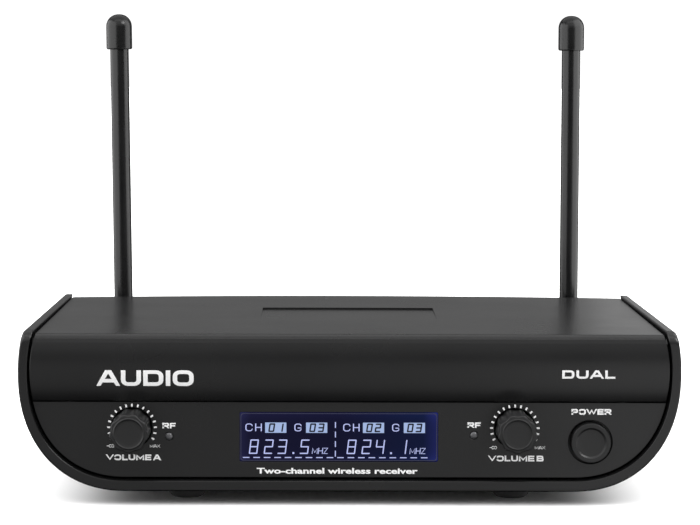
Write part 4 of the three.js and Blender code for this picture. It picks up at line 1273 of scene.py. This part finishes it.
# For each channel: the piece, what makes it, its body, its slot and the CAD node that it replaces.
CHANNEL_PIECES = (
    ("knob", volume_knob, "volume_knob", "control_plastic", "volume_knob"),
    ("lamp", lamp, None, "lamp_plastic", "rf_led"),
    ("output_shell", xlr_shell, None, "connector_plastic", "xlr_output"),
    ("output_pins", xlr_insert, None, "plated_metal", "xlr_insert"),
    ("aerial_base", aerial_base, None, "plated_metal", "antenna_base"),
    ("aerial_swivel", aerial_swivel, "antenna_swivel", "antenna_plastic", "antenna_swivel"),
    ("aerial_pin", aerial_pin, "antenna_swivel", "black_steel", "antenna_pin"),
    ("aerial_rod", aerial_rod, "antenna_rod", "antenna_rubber", "antenna_rod"),
    ("aerial_cap", aerial_cap, "antenna_rod", "antenna_rubber", "antenna_cap"),
)
for channel in CHANNELS:
    for name, make, body, slot, node in CHANNEL_PIECES:
        rides = f"{body}_{channel}" if body else "receiver"
        slotted(f"{name}_{channel}", make(channel), rides, slot, f"{node}_{channel}")
    for number in (1, 2):
        node = f"xlr_screw_{channel}_{number}"
        _, high, centre = span(node)
        head = moved(screw(2.6, 1.4, 1.25, 9), Vector((centre.x, high.y - 1.4, centre.z)))
        slotted(f"output_screw_{channel}_{number}", head, "receiver", "black_steel", node)

slotted("jack_socket", jack_body(), "receiver", "connector_plastic", "output_jack")
slotted("jack_nut", jack_nut(), "receiver", "plated_metal", "output_jack_nut")
slotted("inlet_socket", power_inlet(), "receiver", "connector_plastic", "power_inlet")

LIT = lit_look("lit_segments", (0.5, 0.55, 0.93)).material
LIT_BOX = lit_look("lit_boxes", (0.34, 0.45, 0.72)).material
DARK_DIGIT = Look("unlit_digits", (0.006, 0.006, 0.02), 0.3).mottle(3, 0.2).material
piece("panel_print", panel_print(), INK, "receiver")
piece("brow_print", brow_print(), INK, "receiver")
piece("rear_print", rear_print(), INK, "receiver")
piece("display_marks", display_marks(), LIT, "receiver")
piece("display_boxes", display_boxes(), LIT_BOX, "receiver")
# The pane's rim is made to glow faintly: a painted highlight where the display's light catches its polished
# edge.
piece("display_rim", display_rim(), lit_look("painted_rim_glow", (0.009, 0.01, 0.038)).material, "receiver")
piece("display_box_digits", display_box_digits(), DARK_DIGIT, "receiver")

# ---- Studio ----

RECEIVER_MIDDLE = Vector((0, 65, 60))
CAMERA_LENS = 128.4
CAMERA_PLACE = Vector((-0.14, -796, 143.2))  # before its turn about the upright axis
CAMERA_ANGLES = (-0.578, 85.366, 0.204)  # turn, pitch and roll


def emitter(name, radiance):
    """A material that only gives light."""
    material = bpy.data.materials.new(name)
    material.use_nodes = True
    tree = material.node_tree
    tree.nodes.clear()
    glow = tree.nodes.new("ShaderNodeEmission")
    glow.inputs["Strength"].default_value = radiance
    output = tree.nodes.new("ShaderNodeOutputMaterial")
    tree.links.new(glow.outputs["Emission"], output.inputs["Surface"])
    return material


def glowing_sheet(name, corners, radiance):
    """A flat light that only reflections see, in millimetres from the casing's front edge."""
    mesh = bpy.data.meshes.new(name)
    mesh.from_pydata([TO_FRAME @ Vector(corner) for corner in corners], [], [(0, 1, 2, 3)])
    mesh.materials.append(emitter(name, radiance))
    obj = bpy.data.objects.new(name, mesh)
    scene.collection.objects.link(obj)
    obj.visible_camera = False
    obj.visible_diffuse = False
    obj.visible_shadow = False


def card(name, azimuth, elevation, distance, width, height, radiance):
    """A sheet facing the receiver. Azimuth is measured round from the camera's side."""
    a, e = math.radians(azimuth), math.radians(elevation)
    towards = Vector((math.sin(a) * math.cos(e), -math.cos(a) * math.cos(e), math.sin(e)))
    across = Vector((math.cos(a), math.sin(a), 0)) * width / 2
    up = across.normalized().cross(towards).normalized() * height / 2
    up = up if up.z > 0 else -up
    centre = towards * distance + RECEIVER_MIDDLE
    corners = [centre - across - up, centre + across - up, centre + across + up, centre - across + up]
    glowing_sheet(name, corners, radiance)


def wall_light(name, near, far, low, high, radiance):
    """An upright sheet between two points of the plan."""
    corners = [(*near, low), (*far, low), (*far, high), (*near, high)]
    glowing_sheet(name, corners, radiance)


def floor():
    mesh = bpy.data.meshes.new("floor")
    reach = 12
    mesh.from_pydata([(-reach, -reach, 0), (reach, -reach, 0), (reach, reach, 0), (-reach, reach, 0)], [],
                     [(0, 1, 2, 3)])
    look = Look("pale_floor", (0.92, 0.92, 0.92), 0.9, specular=0.0).mottle(400, 0.01)
    mesh.materials.append(look.material)
    obj = bpy.data.objects.new("floor", mesh)
    scene.collection.objects.link(obj)
    obj.visible_glossy = False
    obj.visible_diffuse = False
    obj.visible_shadow = False


def sky():
    """White at the floor's level, dimmer just above it, brightest overhead and at the sides, dark below."""
    world = bpy.data.worlds.new("sky")
    scene.world = world
    world.use_nodes = True
    tree = world.node_tree
    place = tree.nodes.new("ShaderNodeTexCoord")
    part = tree.nodes.new("ShaderNodeSeparateXYZ")
    level = tree.nodes.new("ShaderNodeMapRange")
    level.inputs["From Min"].default_value = -1
    level.inputs["From Max"].default_value = 1
    ramp = tree.nodes.new("ShaderNodeValToRGB")
    brightest = 3.2
    by_height = [(-0.25, 0.2), (-0.02, 1.15), (0.035, 1.15), (0.07, 0.65), (0.25, 0.75), (0.5, 2.4),
                 (1, brightest)]
    fill_ramp(ramp, [((height + 1) / 2, [radiance / brightest] * 3) for height, radiance in by_height])
    tree.links.new(place.outputs["Generated"], part.inputs["Vector"])
    tree.links.new(part.outputs["Z"], level.inputs["Value"])
    tree.links.new(level.outputs["Result"], ramp.inputs["Fac"])
    tree.links.new(ramp.outputs["Color"], tree.nodes["Background"].inputs["Color"])
    depth = tree.nodes.new("ShaderNodeMapRange")
    depth.inputs["From Min"].default_value = -0.9
    depth.inputs["From Max"].default_value = 0.3
    depth.inputs["To Min"].default_value = 0.58 * brightest
    depth.inputs["To Max"].default_value = brightest
    squared = tree.nodes.new("ShaderNodeMath")
    squared.operation = "MULTIPLY"
    total = tree.nodes.new("ShaderNodeMath")
    total.operation = "MULTIPLY_ADD"
    total.inputs[1].default_value = 1.1 * brightest
    for source, target in (
        (part.outputs["Y"], depth.inputs["Value"]),
        (part.outputs["X"], squared.inputs[0]),
        (part.outputs["X"], squared.inputs[1]),
        (squared.outputs["Value"], total.inputs[0]),
        (depth.outputs["Result"], total.inputs[2]),
        (total.outputs["Value"], tree.nodes["Background"].inputs["Strength"]),
    ):
        tree.links.new(source, target)
    world.cycles_visibility.glossy = False


def camera():
    data = bpy.data.cameras.new("camera")
    data.lens = CAMERA_LENS
    data.sensor_width = 36
    obj = bpy.data.objects.new("camera", data)
    scene.collection.objects.link(obj)
    turn, pitch, roll = (math.radians(angle) for angle in CAMERA_ANGLES)
    place = Matrix.Rotation(turn, 3, "Z") @ CAMERA_PLACE
    aim = Matrix.Rotation(turn, 4, "Z") @ Matrix.Rotation(pitch, 4, "X") @ Matrix.Rotation(roll, 4, "Z")
    obj.matrix_world = Matrix.Translation(TO_FRAME @ place) @ aim
    scene.camera = obj


floor()
sky()
camera()
# Upright sheets: two points of the plan, lowest and highest edge, radiance.
wall_light("left_softbox", (-300, -370), (-700, 700), -20, 500, 2.4)
wall_light("right_softbox", (150, 15), (440, 380), -20, 500, 2.8)
wall_light("low_front_left", (-700, -300), (0, -300), -160, 42, 0.45)
wall_light("low_front_middle", (0, -300), (90, -300), -160, 42, 0.53)
wall_light("low_front_right", (90, -300), (260, -300), -170, 42, 0.85)
wall_light("low_right_corner", (260, -300), (430, -120), -170, 42, 1.5)
# Sheets that face the receiver: azimuth, elevation, distance, width, height, radiance.
card("rear_card", 180, 12, 1800, 2600, 1500, 0.226)
card("rear_right_card", 163.5, 6, 1700, 440, 900, 0.5)
card("front_card", 0, 36, 1800, 2400, 900, 1.0)
card("overhead_card", 0, 64, 1700, 2400, 600, 1.8)
card("level_card", 0, 13, 1850, 2400, 500, 0.5)
card("ceiling_card", 180, 72, 1300, 2400, 1500, 0.9)
card("upper_right_card", 48, 38, 1500, 500, 500, 11.0)
scene.view_settings.view_transform = "Standard"
